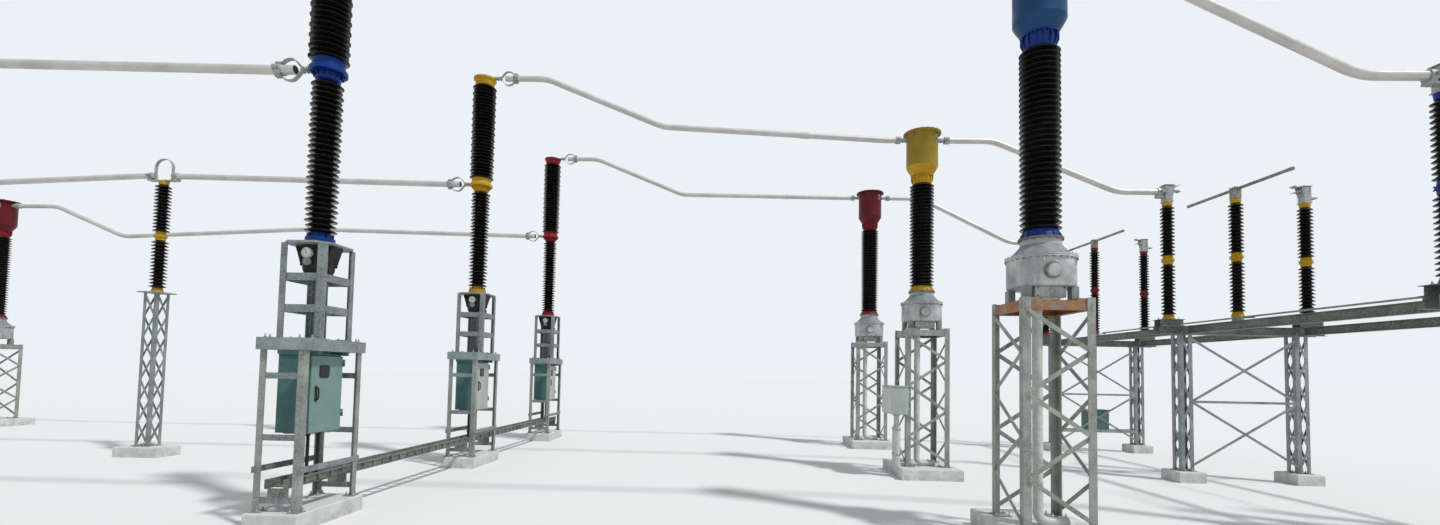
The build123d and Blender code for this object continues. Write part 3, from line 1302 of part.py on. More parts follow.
# Bolted pads on both sides of the current transformer heads
with BuildPart() as ct_terminal:
    with BuildSketch(Plane.XY.offset(CT_TUBE_Z - PAD_THICK)) as pads:
        with GridLocations(2 * CT_HEAD_R + CT_PAD_LENGTH, 0, 2, 1):
            Rectangle(CT_PAD_LENGTH + 2 * CLAMP_WALL, PAD_WIDTH)
            with GridLocations(PAD_HOLE_SPACING, PAD_HOLE_SPACING, 2, 2):
                Circle(PAD_HOLE_R, mode=Mode.SUBTRACT)
    extrude(pads.sketch, amount=PAD_THICK)
    add(ct_head, mode=Mode.SUBTRACT)
with BuildPart() as ct_terminals:
    for phase in PHASES:
        with Locations(*head_places(phase)):
            add(ct_terminal.part, clean=False)
save(ct_terminals, "ct_terminals")

# Sleeve clamps with flat lugs on those pads, and saddle clamps on the contact heads
with BuildPart() as head_lug:
    sleeve(ct_reach, CT_TUBE_Z)
    with BuildSketch(Plane.XY.offset(CT_TUBE_Z)) as lug:
        with Locations((ct_reach - PAD_LENGTH / 2 + SLEEVE_LENGTH / 2, 0)):
            Rectangle(PAD_LENGTH + SLEEVE_LENGTH - 2 * CLAMP_WALL, PAD_WIDTH)
    extrude(lug.sketch, amount=LUG_THICK)
    with BuildSketch(Plane.YZ.offset(ct_reach)) as bore:
        with Locations((0, CT_TUBE_Z)):
            Circle(TUBE_R)
    extrude(bore.sketch, amount=2 * SLEEVE_LENGTH, mode=Mode.SUBTRACT)
with BuildPart() as tube_clamps:
    for phase in PHASES:
        left_place, right_place = head_places(phase)
        with Locations(Location(left_place), Location(right_place)):
            add(head_lug.part, clean=False)
        with Locations(Location(right_place, (0, 0, 180))):
            add(head_lug.part, clean=False)
    head_clamp = tube_clamp(pad_z + PAD_THICK, DISCONNECTOR_TUBE_Z)
    with Locations(*spots(OUTER_X[0] - CONTACT_BODY / 2 - CLAMP_WALL - CLAMP_LENGTH)):
        add(head_clamp, clean=False)
save(tube_clamps, "tube_clamps")

# Saddles on the post insulators, with the strap arches that join the tube ends
saddle_clamp = tube_clamp(post_top + SADDLE_THICK, post_tube_z)
saddle_clamp_x = SADDLE_LENGTH / 2 - CLAMP_LENGTH / 2
with BuildPart() as post_saddle:
    with BuildSketch(Plane.XY.offset(post_top)) as saddle_plate:
        Rectangle(SADDLE_LENGTH, CLAMP_WIDTH)
    extrude(saddle_plate.sketch, amount=SADDLE_THICK)
    with Locations((-saddle_clamp_x, 0, 0), (saddle_clamp_x, 0, 0)):
        add(saddle_clamp)
save(copies(post_saddle.part, spots(POST_X)), "post_saddles")

arch_radius = ARCH_SPAN / 2
with BuildPart() as post_arch:
    with BuildSketch(Plane.XZ.offset(-ARCH_WIDTH / 2)):
        with BuildLine():
            foot_left = (-arch_radius, post_top + SADDLE_THICK)
            shoulder_left = (-arch_radius, ARCH_TOP - arch_radius)
            shoulder_right = (arch_radius, ARCH_TOP - arch_radius)
            foot_right = (arch_radius, post_top + SADDLE_THICK)
            Line(foot_left, shoulder_left)
            RadiusArc(shoulder_left, shoulder_right, arch_radius)
            Line(shoulder_right, foot_right)
            offset(amount=ARCH_THICK, side=Side.RIGHT)
        make_face()
    extrude(amount=ARCH_WIDTH)
save(copies(post_arch.part, spots(POST_X)), "post_arches")
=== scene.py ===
"""Looks of the three-phase switchgear bay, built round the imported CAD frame, in metres."""

import json
from itertools import product
from math import cos, pi, radians, sin

import bmesh
import bpy
import numpy as np
from mathutils import Matrix, Vector


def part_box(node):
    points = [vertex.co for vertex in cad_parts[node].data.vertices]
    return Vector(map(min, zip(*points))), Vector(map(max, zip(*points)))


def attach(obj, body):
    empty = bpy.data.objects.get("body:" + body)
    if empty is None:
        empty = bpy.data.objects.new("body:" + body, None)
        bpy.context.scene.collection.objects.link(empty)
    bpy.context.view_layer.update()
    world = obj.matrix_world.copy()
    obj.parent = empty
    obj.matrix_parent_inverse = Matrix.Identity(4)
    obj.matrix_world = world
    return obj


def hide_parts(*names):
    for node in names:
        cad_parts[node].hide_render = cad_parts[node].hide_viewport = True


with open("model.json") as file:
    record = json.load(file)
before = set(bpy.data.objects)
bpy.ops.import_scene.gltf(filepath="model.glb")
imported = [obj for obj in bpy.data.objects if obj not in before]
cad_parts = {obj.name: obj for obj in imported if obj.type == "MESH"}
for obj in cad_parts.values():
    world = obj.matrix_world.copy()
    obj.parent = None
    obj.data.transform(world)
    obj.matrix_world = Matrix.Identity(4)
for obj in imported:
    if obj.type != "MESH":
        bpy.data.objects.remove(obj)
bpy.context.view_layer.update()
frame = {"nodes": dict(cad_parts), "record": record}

# Places of the apparatus, as in the CAD model
PHASES = {"blue": -4.5, "yellow": 0.0, "red": 4.5}
CT_X = (-15.7, 8.72)
POST_X = -6.53
DISCONNECTOR_X = 14.69
TOWERS_X = (DISCONNECTOR_X - 1.06, DISCONNECTOR_X + 1.06)
OUTER_X = (13.4, 15.98)
LEFT_CT_DROP = 0.48
HEAD_DROP = {"blue": 0.0, "yellow": 0.195, "red": 0.0}
BUS_POST_FOOT = 3.27
OUTER_POST_FOOT = 3.052
TURNING_POST_FOOT = 3.127
BAY = "bay"

# Heights of the current path: breaker caps and waists, transformer terminals and blades
CAP_Z = 7.70
WAIST_Z = 5.537
TERMINAL_Z = 6.694
BLADE_Z = 5.587

# Directions and signs; the front is the side that the photo shows
FRONT = (0, -1, 0)
RIGHT = (1, 0, 0)
DOWN = (0, 0, -1)
HALF_TURN = Matrix.Rotation(pi, 4, "Z")
SIDES = (-1, 1)
CORNERS = tuple(product(SIDES, repeat=2))


# Geometry helpers


def new_object(name, data):
    """An object in the scene for a mesh, a light or a camera."""
    piece = bpy.data.objects.new(name, data)
    bpy.context.collection.objects.link(piece)
    return piece


class Shape:
    """Vertices and faces that grow piece by piece before they become one mesh."""

    def __init__(self):
        self.verts = []
        self.faces = []
        self.count = 0

    def add(self, verts, faces, matrix=None):
        """Adds points and faces, moved by a matrix where one is given."""
        points = np.asarray(verts, float)
        if matrix is not None:
            m = np.array(matrix)
            points = points @ m[:3, :3].T + m[:3, 3]
        self.verts.append(points)
        self.faces += [tuple(i + self.count for i in face) for face in faces]
        self.count += len(points)
        return self

    def put(self, other, *places):
        """Adds a copy of another shape at each place, a point or a matrix, or where it is."""
        points = np.concatenate(other.verts)
        for place in places or ((0, 0, 0),):
            matrix = place if isinstance(place, Matrix) else Matrix.Translation(place)
            self.add(points, other.faces, matrix)
        return self

    def at(self, *places):
        """A new shape with a copy of this one at each place."""
        return Shape().put(self, *places)

    def make(self, name, material, body=BAY, smooth=35, replaces=(), slot=None):
        """Turns the shape into an object that rides on a body.

        The material may be a material slot's name, which then picks the material; the slot argument
        is not used. Edges below the smooth angle, in degrees, are shaded round; 0 leaves all of them
        sharp.
        """
        if isinstance(material, str):
            slot = material
            material = MATERIALS[slot]
        mesh = bpy.data.meshes.new(name)
        mesh.from_pydata(np.concatenate(self.verts).tolist(), [], self.faces)
        shell = bmesh.new()
        shell.from_mesh(mesh)
        bmesh.ops.recalc_face_normals(shell, faces=shell.faces)
        shell.to_mesh(mesh)
        shell.free()
        mesh.materials.append(material)
        piece = new_object(name, mesh)
        if smooth:
            mesh.shade_smooth()
            mesh.set_sharp_from_angle(angle=radians(smooth))
        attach(piece, body)
        if replaces:
            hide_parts(*replaces)


def ring_faces(low, high, count):
    """Quads between two rings of points, given each ring's first point."""
    faces = []
    for step in range(count):
        after = (step + 1) % count
        faces.append((low + step, low + after, high + after, high + step))
    return faces


def headings(path):
    """The direction of a path at each of its points."""
    return [(b - a).normalized() for a, b in zip(path[:1] + path[:-1], path[1:] + path[-1:])]


def lathe(profile, segments=32):
    """A shape turned about Z from (radius, height) points; a radius of 0 closes it."""
    verts = []
    faces = []
    rings = []
    for radius, height in profile:
        first = len(verts)
        if radius == 0:
            verts.append((0, 0, height))
            rings.append([first] * segments)
            continue
        for step in range(segments):
            angle = 2 * pi * step / segments
            verts.append((radius * cos(angle), radius * sin(angle), height))
        rings.append(list(range(first, first + segments)))
    for low, high in zip(rings, rings[1:]):
        for step in range(segments):
            after = (step + 1) % segments
            face = tuple(dict.fromkeys((low[step], low[after], high[after], high[step])))
            if len(face) > 2:
                faces.append(face)
    return Shape().add(verts, faces)


def turned(profile, segments=32):
    """A solid turned about Z from (radius, height) points, closed flat at both ends."""
    return lathe([(0, profile[0][1]), *profile, (0, profile[-1][1])], segments)


def block(size, centre=(0, 0, 0), bevel=0.0):
    """A box, with chamfered edges where a bevel is given."""
    place = Matrix.Translation(centre)
    corners = list(product(SIDES, repeat=3))
    if not bevel:
        verts = [[sign * value / 2 for sign, value in zip(corner, size)] for corner in corners]
        faces = [(0, 1, 3, 2), (4, 6, 7, 5), (0, 4, 5, 1), (2, 3, 7, 6), (0, 2, 6, 4), (1, 5, 7, 3)]
        return Shape().add(verts, faces, place)
    # Each corner becomes three points, one on each side of the box, and a small triangle
    verts = []
    index = {}
    for corner in corners:
        for axis in range(3):
            index[corner, axis] = len(verts)
            inset = [0 if other == axis else bevel for other in range(3)]
            verts.append([c * (v / 2 - less) for c, v, less in zip(corner, size, inset)])
    faces = [tuple(index[corner, axis] for axis in range(3)) for corner in corners]
    for axis in range(3):
        ends = []
        for sign in SIDES:
            loop = ((-1, -1), (1, -1), (1, 1), (-1, 1))
            ends.append([(*pair[:axis], sign, *pair[axis:]) for pair in loop])
            faces.append(tuple(index[corner, axis] for corner in ends[-1]))
        one, other = (side for side in range(3) if side != axis)
        for a, b in zip(*ends):
            faces.append((index[a, one], index[b, one], index[b, other], index[a, other]))
    return Shape().add(verts, faces, place)


def plate(outline, thick):
    """A flat plate from an outline of (x, z) points, centred on Y = 0."""
    count = len(outline)
    verts = [(x, side * thick / 2, z) for side in SIDES for x, z in outline]
    faces = [tuple(range(count)), tuple(range(count, 2 * count)), *ring_faces(0, count, count)]
    return Shape().add(verts, faces)


def rounded_plate(width, height, radius, thick):
    """A plate with rounded corners on Z = 0, width along X and height along Y."""
    outline = []
    for turn, (right, top) in enumerate(((1, 1), (-1, 1), (-1, -1), (1, -1))):
        for step in range(5):
            angle = (turn + step / 4) * pi / 2
            x = right * (width / 2 - radius) + radius * cos(angle)
            outline.append((x, top * (height / 2 - radius) + radius * sin(angle)))
    flat = Matrix.Translation((0, 0, thick / 2)) @ Matrix.Rotation(-pi / 2, 4, "X")
    return plate(outline, thick).at(flat)


def strap(points, thick, width):
    """A flat strip bent along (x, z) points, its width along Y."""
    path = [Vector((x, 0, z)) for x, z in points]
    half = Vector((0, width / 2, 0))
    verts = []
    for point, heading in zip(path, headings(path)):
        normal = heading.cross(Vector((0, 1, 0))) * thick / 2
        for corner in (normal - half, normal + half, half - normal, -normal - half):
            verts.append(tuple(point + corner))
    faces = [(3, 2, 1, 0), tuple(range(len(verts) - 4, len(verts)))]
    for first in range(0, len(verts) - 4, 4):
        faces += ring_faces(first, first + 4, 4)
    return Shape().add(verts, faces)


def band(inner, outer, low, high, segments=32):
    """A flat-edged ring about Z."""
    ring = lathe([(inner, low), (outer, low), (outer, high), (inner, high)], segments)
    ring.faces += ring_faces(3 * segments, 0, segments)
    return ring


def round_about(piece, count, phase=0.0):
    """Copies of a piece, turned about Z in equal steps."""
    shape = Shape()
    for index in range(count):
        shape.put(piece, Matrix.Rotation(2 * pi * (index + phase) / count, 4, "Z"))
    return shape


def facing(point, normal):
    """A matrix that puts +Z of a small part along a normal at a point."""
    return Matrix.Translation(point) @ Vector(normal).to_track_quat("Z", "Y").to_matrix().to_4x4()


def along(start, end):
    """A matrix that takes +Z from the start point towards the end point."""
    return facing(start, Vector(end) - Vector(start))


def rod(start, end, radius, segments=16):
    """A round bar between two points, with slightly broken edges."""
    length = (Vector(end) - Vector(start)).length
    edge = min(radius * 0.15, length * 0.2)
    profile = [(radius - edge, 0), (radius, edge), (radius, length - edge), (radius - edge, length)]
    return turned(profile, segments).at(along(start, end))


def hose(path, radius, segments=10):
    """A bent bar along a path, closed at both ends."""
    verts = []
    side = headings(path)[0].orthogonal()
    for point, heading in zip(path, headings(path)):
        side = (side - heading * side.dot(heading)).normalized()
        other = heading.cross(side)
        for step in range(segments):
            angle = 2 * pi * step / segments
            verts.append(tuple(point + radius * (cos(angle) * side + sin(angle) * other)))
    faces = [tuple(range(segments)), tuple(range(len(verts) - segments, len(verts)))]
    for first in range(0, len(verts) - segments, segments):
        faces += ring_faces(first, first + segments, segments)
    return Shape().add(verts, faces)


def curve_points(controls, steps):
    """Points of a smooth line through the control points."""
    path = [Vector(control) for control in controls]
    path = [2 * path[0] - path[1]] + path + [2 * path[-1] - path[-2]]
    line = []
    for a, b, c, d in zip(path, path[1:], path[2:], path[3:]):
        for step in range(steps):
            t = step / steps
            square = (2 * a - 5 * b + 4 * c - d) * t * t
            cubic = (3 * b - a - 3 * c + d) * t * t * t
            line.append(0.5 * (2 * b + (c - a) * t + square + cubic))
    return line + [path[-2]]


def bolt(radius, head):
    """A hexagon head on a washer, standing on Z = 0."""
    washer = 0.003
    shape = turned([(radius * 1.25, 0), (radius * 1.25, washer)], 12)
    return shape.put(turned([(radius, washer), (radius, head), (radius * 0.8, head + 0.003)], 6))


def bolt_ring(radius, height, count, size, down=False, phase=0.0):
    """Bolts in a circle, heads up or down."""
    shape = Shape()
    one = bolt(size, head=0.011)
    for index in range(count):
        angle = 2 * pi * (index + phase) / count
        place = Matrix.Translation((radius * cos(angle), radius * sin(angle), height))
        shape.put(one, place @ Matrix.Rotation(pi, 4, "X") if down else place)
    return shape


# Materials


class Nodes:
    """Short calls for a material's node tree; a value is a number, a colour or an output."""

    def __init__(self, name):
        self.material = bpy.data.materials.new(name)
        self.material.use_nodes = True
        self.tree = self.material.node_tree
        self.shader = self.tree.nodes["Principled BSDF"]
        self.place = self.new("TexCoord").outputs["Object"]

    def feed(self, socket, value):
        """Sets an input to a value."""
        if isinstance(value, bpy.types.NodeSocket):
            self.tree.links.new(value, socket)
        elif socket.type == "RGBA":
            socket.default_value = (*value, 1)
        else:
            socket.default_value = value

    def new(self, kind, **values):
        """A new node; an underscore in an input's name stands for a space."""
        node = self.tree.nodes.new("ShaderNode" + kind)
        for name, value in values.items():
            self.feed(node.inputs[name.replace("_", " ")], value)
        return node

    def noise(self, scale, detail=4.0, stretch=(1, 1, 1), rough=0.6):
        """Noise in metres, stretched along an axis where wanted."""
        place = self.new("Mapping", Vector=self.place, Scale=stretch).outputs["Vector"]
        node = self.new("TexNoise", Vector=place, Scale=scale, Detail=detail, Roughness=rough)
        return node.outputs["Fac"]

    def cells(self, scale):
        """Random grey per cell, as in zinc spangle."""
        node = self.new("TexVoronoi", Vector=self.place, Scale=scale)
        return self.new("RGBToBW", Color=node.outputs["Color"]).outputs["Val"]

    def ramp(self, source, low, high, low_value=0.0, high_value=1.0):
        """Maps a range of a value to another, clamped."""
        node = self.new("MapRange", Value=source, From_Min=low, From_Max=high)
        self.feed(node.inputs["To Min"], low_value)
        self.feed(node.inputs["To Max"], high_value)
        return node.outputs["Result"]

    def times(self, first, second):
        """The product of two values."""
        node = self.new("Math")
        node.operation = "MULTIPLY"
        self.feed(node.inputs[0], first)
        self.feed(node.inputs[1], second)
        return node.outputs[0]

    def axis(self, name):
        """The place of the point along X, Y or Z, in metres."""
        return self.new("SeparateXYZ", Vector=self.place).outputs[name]

    def facing_up(self):
        """How far the surface faces up, from -1 to 1."""
        normal = self.new("NewGeometry").outputs["Normal"]
        return self.new("SeparateXYZ", Vector=normal).outputs["Z"]

    def mix(self, factor, first, second):
        """Blends two colours."""
        node = self.new("Mix")
        node.data_type = "RGBA"
        self.feed(node.inputs["Factor"], factor)
        self.feed(node.inputs["A"], first)
        self.feed(node.inputs["B"], second)
        return node.outputs["Result"]

    def finish(self, color, rough, metallic=0.0, bump=None, strength=0.2, distance=0.002, gloss=0.5):
        """Sets the surface values and an optional bump, and returns the material."""
        self.feed(self.shader.inputs["Base Color"], color)
        self.feed(self.shader.inputs["Roughness"], rough)
        self.feed(self.shader.inputs["Metallic"], metallic)
        self.feed(self.shader.inputs["Specular IOR Level"], gloss)
        if bump is not None:
            node = self.new("Bump", Height=bump, Strength=strength, Distance=distance)
            self.feed(self.shader.inputs["Normal"], node.outputs["Normal"])
        return self.material


def galvanised(name="galvanised", light=(0.27, 0.315, 0.30), dark=(0.125, 0.157, 0.153), rust=0.15):
    """Weathered hot-dip zinc: spangle, cloudy patches, faint runs and rust stains."""
    n = Nodes(name)
    clouds = n.ramp(n.noise(3.5, 6), 0.35, 0.68)
    tone = n.mix(clouds, dark, light)
    spangle = n.ramp(n.cells(70), 0.2, 0.8, 0.0, 0.35)
    tone = n.mix(spangle, tone, (0.43, 0.46, 0.45))
    runs = n.ramp(n.noise(9, 3, (1, 1, 0.08)), 0.62, 0.78, 0.0, 0.4)
    tone = n.mix(runs, tone, (0.17, 0.17, 0.14))
    stains = n.ramp(n.noise(5, 8, (1, 1, 0.35), 0.7), 0.60, 0.74, 0.0, rust)
    tone = n.mix(stains, tone, (0.27, 0.13, 0.05))
    rough_map = n.ramp(n.noise(25, 3), 0.3, 0.7, 0.42, 0.65)
    return n.finish(tone, rough_map, 0.25, n.noise(120, 2), 0.12, gloss=0.35)


def rusty_frames():
    """Zinc channels, with red-brown rust over those of the near right transformer."""
    n = Nodes("rusty_channels")
    zinc = n.mix(n.ramp(n.noise(4, 6), 0.35, 0.68), (0.19, 0.21, 0.19), (0.36, 0.385, 0.355))
    rust = n.mix(n.ramp(n.noise(12, 8), 0.3, 0.7), (0.20, 0.075, 0.025), (0.44, 0.21, 0.085))
    near = n.times(n.ramp(n.axis("Y"), -3.8, -3.9), n.ramp(n.axis("Z"), 2.77, 2.76))
    right = n.ramp(n.axis("X"), 8.0, 8.1)
    worn = n.ramp(n.noise(6, 8, (1, 1, 0.6), 0.65), 0.31, 0.45, 0.0, 0.95)
    tone = n.mix(n.times(n.times(near, right), worn), zinc, rust)
    return n.finish(tone, 0.7, 0.1, n.noise(60, 6), 0.25)


def concrete():
    """Whitewashed plinths, worn to bare concrete on the sides and edges."""
    n = Nodes("worn_concrete")
    bare = n.mix(n.ramp(n.noise(14, 8), 0.3, 0.7), (0.30, 0.28, 0.25), (0.50, 0.48, 0.44))
    wash = n.mix(n.ramp(n.noise(5, 5), 0.3, 0.7), (0.50, 0.52, 0.51), (0.68, 0.70, 0.68))
    low = n.ramp(n.axis("Z"), 0.02, 0.17, 0.75, 0.25)
    worn = n.ramp(n.noise(6, 9, rough=0.7), 0.42, 0.60)
    return n.finish(n.mix(n.times(low, worn), wash, bare), 0.9, 0.0, n.noise(60, 8), 0.5, 0.004)


def porcelain():
    """Dark glazed porcelain with dust on top of the sheds."""
    n = Nodes("dark_porcelain")
    tone = n.mix(n.ramp(n.noise(2.5, 5), 0.35, 0.7), (0.003, 0.0035, 0.003), (0.009, 0.009, 0.008))
    dust = n.times(n.ramp(n.facing_up(), 0.0, 0.95, 0.0, 0.22), n.ramp(n.noise(8, 5), 0.3, 0.7))
    tone = n.mix(dust, tone, (0.10, 0.095, 0.075))
    rough_map = n.ramp(n.noise(12, 4), 0.3, 0.7, 0.14, 0.30)
    return n.finish(tone, rough_map, 0.0, n.noise(30, 3), 0.05, gloss=0.25)


def paint(name, color, faded, rough, stain, amount):
    """Old outdoor paint: faded in patches, stained in runs, slightly orange-peeled."""
    n = Nodes(name)
    tone = n.mix(n.ramp(n.noise(4, 6), 0.35, 0.7), color, faded)
    runs = n.ramp(n.noise(11, 6, (1, 1, 0.12), 0.7), 0.55, 0.78, 0.0, amount)
    tone = n.mix(runs, tone, stain)
    rough_map = n.ramp(n.noise(18, 4), 0.3, 0.7, rough - 0.06, rough + 0.14)
    return n.finish(tone, rough_map, 0.0, n.noise(90, 3), 0.08, gloss=0.22)


def tank_grey():
    """Light grey paint of the tanks: streaked, and greyer on the slopes that face up."""
    n = Nodes("tank_grey")
    tone = n.mix(n.ramp(n.noise(4, 6), 0.35, 0.65), (0.27, 0.30, 0.31), (0.56, 0.58, 0.575))
    streaks = n.ramp(n.noise(10, 7, (1, 1, 0.25), 0.7), 0.28, 0.62, 0.55, 1.0)
    slope = n.times(n.ramp(n.facing_up(), 0.12, 0.45), streaks)
    tone = n.mix(n.times(slope, 0.85), tone, (0.125, 0.165, 0.175))
    runs = n.ramp(n.noise(13, 7, (1, 1, 0.12), 0.7), 0.52, 0.74, 0.0, 0.6)
    tone = n.mix(runs, tone, (0.18, 0.165, 0.13))
    rough_map = n.ramp(n.noise(18, 4), 0.3, 0.7, 0.45, 0.62)
    return n.finish(tone, rough_map, 0.0, n.noise(90, 3), 0.08, gloss=0.3)


def metal(name, light, dark, rough=0.4, metallic=0.75, scale=6.0):
    """Bare weathered metal with cloudy oxide."""
    n = Nodes(name)
    tone = n.mix(n.ramp(n.noise(scale, 6), 0.3, 0.7), dark, light)
    fine = n.ramp(n.noise(scale * 9, 3), 0.55, 0.75, 0.0, 0.3)
    tone = n.mix(fine, tone, tuple(c * 0.55 for c in dark))
    rough_map = n.ramp(n.noise(scale * 3, 4), 0.3, 0.7, rough - 0.08, rough + 0.14)
    return n.finish(tone, rough_map, metallic, n.noise(70, 3), 0.08)


def plain(name, color, rough=0.5, metallic=0.0, variation=0.25, gloss=0.3):
    """A small part's finish, with a little dirt."""
    n = Nodes(name)
    dirty = tuple(c * (1 - variation) for c in color)
    tone = n.mix(n.ramp(n.noise(20, 5), 0.35, 0.7), color, dirty)
    return n.finish(tone, rough, metallic, n.noise(150, 2), 0.05, gloss=gloss)


# The colour of each paint, the faded colour, how rough it is, the colour of its stains and how
# strong they are
GRIME = (0.20, 0.16, 0.12)
PAINTS = {
    "cabinet_green": ((0.060, 0.142, 0.134), (0.085, 0.178, 0.170), 0.45, GRIME, 0.25),
    "door_green": ((0.150, 0.252, 0.222), (0.185, 0.290, 0.256), 0.42, GRIME, 0.15),
    "pale_door": ((0.36, 0.38, 0.34), (0.44, 0.46, 0.42), 0.42, GRIME, 0.2),
    "box_grey": ((0.34, 0.41, 0.40), (0.44, 0.50, 0.49), 0.45, GRIME, 0.3),
    "box_door": ((0.50, 0.52, 0.50), (0.58, 0.60, 0.58), 0.45, GRIME, 0.25),
    "phase_blue": ((0.001, 0.022, 0.155), (0.002, 0.034, 0.20), 0.34, (0.005, 0.014, 0.05), 0.35),
    "phase_yellow": ((0.46, 0.255, 0.008), (0.53, 0.33, 0.02), 0.42, (0.20, 0.10, 0.015), 0.35),
    "phase_red": ((0.175, 0.005, 0.011), (0.225, 0.011, 0.017), 0.42, (0.06, 0.01, 0.01), 0.35),
    "head_blue": ((0.004, 0.041, 0.120), (0.007, 0.058, 0.160), 0.36, (0.006, 0.02, 0.045), 0.3),
    # The yellow heads' colour is darkened below the phase yellow as painted shade.
    "head_yellow": ((0.245, 0.170, 0.016), (0.31, 0.222, 0.028), 0.42, (0.12, 0.070, 0.01), 0.35),
    "head_red": ((0.090, 0.004, 0.010), (0.130, 0.008, 0.014), 0.42, (0.03, 0.005, 0.006), 0.3),
}
MATERIALS = {name: paint(name, *values) for name, values in PAINTS.items()}
MATERIALS |= {
    "concrete": concrete(),
    "galvanised_steel": galvanised(),
    "porcelain": porcelain(),
    "tank_grey": tank_grey(),
    "dark_castings": plain("dark_castings", (0.035, 0.030, 0.028), 0.55, 0.2, 0.4),
    "gauge_white": plain("gauge_white", (0.75, 0.77, 0.76), 0.35),
    "grey_pipe": plain("grey_pipe", (0.64, 0.65, 0.63), 0.5),
    "contact_aluminium": metal("contact_aluminium", (0.44, 0.45, 0.44), (0.25, 0.26, 0.25), 0.48, 0.5),
    "tube_aluminium": metal("tube_aluminium", (0.60, 0.585, 0.55), (0.46, 0.44, 0.41), 0.42, 0.45, 2.5),
}
BOLT_ZINC = metal("bolt_zinc", (0.50, 0.50, 0.48), (0.30, 0.29, 0.27), 0.45, 0.6, 30)
BLACK = plain("black_rubber", (0.018, 0.018, 0.019), 0.6)
RUSTY_BOLT = metal("rusty_bolts", (0.30, 0.25, 0.18), (0.16, 0.12, 0.08), 0.6, 0.3, 14)
CLAMP_STEEL = metal("clamp_steel", (0.21, 0.195, 0.165), (0.11, 0.10, 0.085), 0.6, 0.3, 14)
VALVE_GREY = metal("valve_grey", (0.30, 0.33, 0.34), (0.19, 0.21, 0.22), 0.45, 0.4, 20)
GAUGE_METAL = metal("gauge_metal", (0.62, 0.63, 0.62), (0.42, 0.43, 0.43), 0.35, 0.4, 20)
BARE_COPPER = metal("bare_copper", (0.32, 0.20, 0.12), (0.17, 0.13, 0.09), 0.5, 0.5, 12)
GLASS = plain("dark_glass", (0.006, 0.009, 0.010), 0.12)
LEVEL_GREY = plain("level_grey", (0.27, 0.31, 0.27), 0.5)
DIAL_WHITE = plain("dial_white", (0.78, 0.79, 0.77), 0.3, variation=0.1)
OLIVE_ZINC = galvanised("olive_zinc", (0.17, 0.19, 0.16), (0.075, 0.09, 0.07), 0.4)
# A darker copy of the galvanised zinc for the breakers' upper frames and frame bars: painted shade.
FRAME_ZINC_PAINTED_SHADE = galvanised("frame_zinc_painted_shade", (0.215, 0.255, 0.245), (0.10, 0.13, 0.127), 0.2)
BLADE_METAL = metal("blade_metal", (0.30, 0.30, 0.28), (0.15, 0.15, 0.14), 0.5, 0.5)
# Finishes of single CAD nodes; the darker zinc on the breaker frames, drive columns and cable tray is
# painted shade.
FINISHES_AND_PAINTED_SHADE = {
    "ct_top_frames": rusty_frames(),
    "ct_towers": galvanised("tower_zinc", (0.345, 0.365, 0.32), (0.16, 0.175, 0.145), 0.55),
    "breaker_legs": galvanised("leg_zinc", (0.30, 0.33, 0.30), (0.15, 0.175, 0.155), 0.35),
    "disconnector_base_frames": OLIVE_ZINC,
    "disconnector_ties": OLIVE_ZINC,
    # Painted shade: the breakers' upper frames and frame bars take the darker zinc copy.
    "breaker_upper_frames": FRAME_ZINC_PAINTED_SHADE,
    "breaker_frame_bars": FRAME_ZINC_PAINTED_SHADE,
    # Painted shade: the cable tray takes the dark olive zinc of the base frames.
    "cable_tray": OLIVE_ZINC,
    # Painted shade: the drive columns take a much darker copy of the galvanised zinc.
    "drive_columns": galvanised("column_zinc_painted_shade", (0.10, 0.13, 0.127), (0.05, 0.067, 0.065), 0.2),
}

for entry in frame["record"]["subparts"]:
    node = frame["nodes"][entry["node"]]
    node.data.materials.clear()
    node.data.materials.append(FINISHES_AND_PAINTED_SHADE.get(entry["node"]) or MATERIALS[entry["material_slot"]])


# Porcelain insulators


def shed_profile(bottom, length, core, shed, sheds, alternate=0.84):
    """Outline of a shed stack with rounded lips and cut-back undersides."""
    pitch = length / sheds
    small = core + alternate * (shed - core)
    lip = 0.006
    outline = [(core, bottom)]
    for index in range(sheds):
        foot = bottom + index * pitch
        tip = small if index % 2 else shed
        outline += [
            (core + 0.15 * (tip - core), foot + 0.10 * pitch),
            (tip - lip, foot + 0.20 * pitch),
            (tip, foot + 0.28 * pitch),
            (tip - lip, foot + 0.38 * pitch),
            (core + 0.2 * (tip - core), foot + 0.78 * pitch),
            (core, foot + pitch),
        ]
    return outline


def on_phases(*x_values):
    """Ground points at these X values on every phase line."""
    return [(x, y, 0) for x in x_values for y in PHASES.values()]


BREAKERS = on_phases(0)
LEFT_CTS = [(CT_X[0], y, -LEFT_CT_DROP) for y in PHASES.values()]
BREAKER_UNIT = 1.89
CT_STACK = 2.2
CT_STACK_FOOT = 3.614
POST_UNIT = 0.965
POST_FLANGE = 0.09
POST_WAIST = 0.17


def breaker_sheds(name, node, bottom, core, shed):
    """Shed stacks of the breakers, in place of the CAD node."""
    stack = lathe(shed_profile(bottom, BREAKER_UNIT, core, shed, 29), 40)
    stack.at(*BREAKERS).make(name, "porcelain", BAY, 40, (node,))


def ct_stack(length, sheds):
    """The shed stack of a current transformer."""
    return lathe(shed_profile(CT_STACK_FOOT, length, 0.165, 0.226, sheds, 1.0), 48)


def post_sheds(name, node, base, shed, places, body=BAY):
    """Both shed stacks of post insulators whose feet stand at base."""
    shape = Shape()
    low = base + POST_FLANGE
    for bottom in (low, low + POST_UNIT + POST_WAIST):
        shape.put(lathe(shed_profile(bottom, POST_UNIT, 0.066, shed, 14, 1.0), 28), *places)
    shape.make(name, "porcelain", body, 40, (node,))


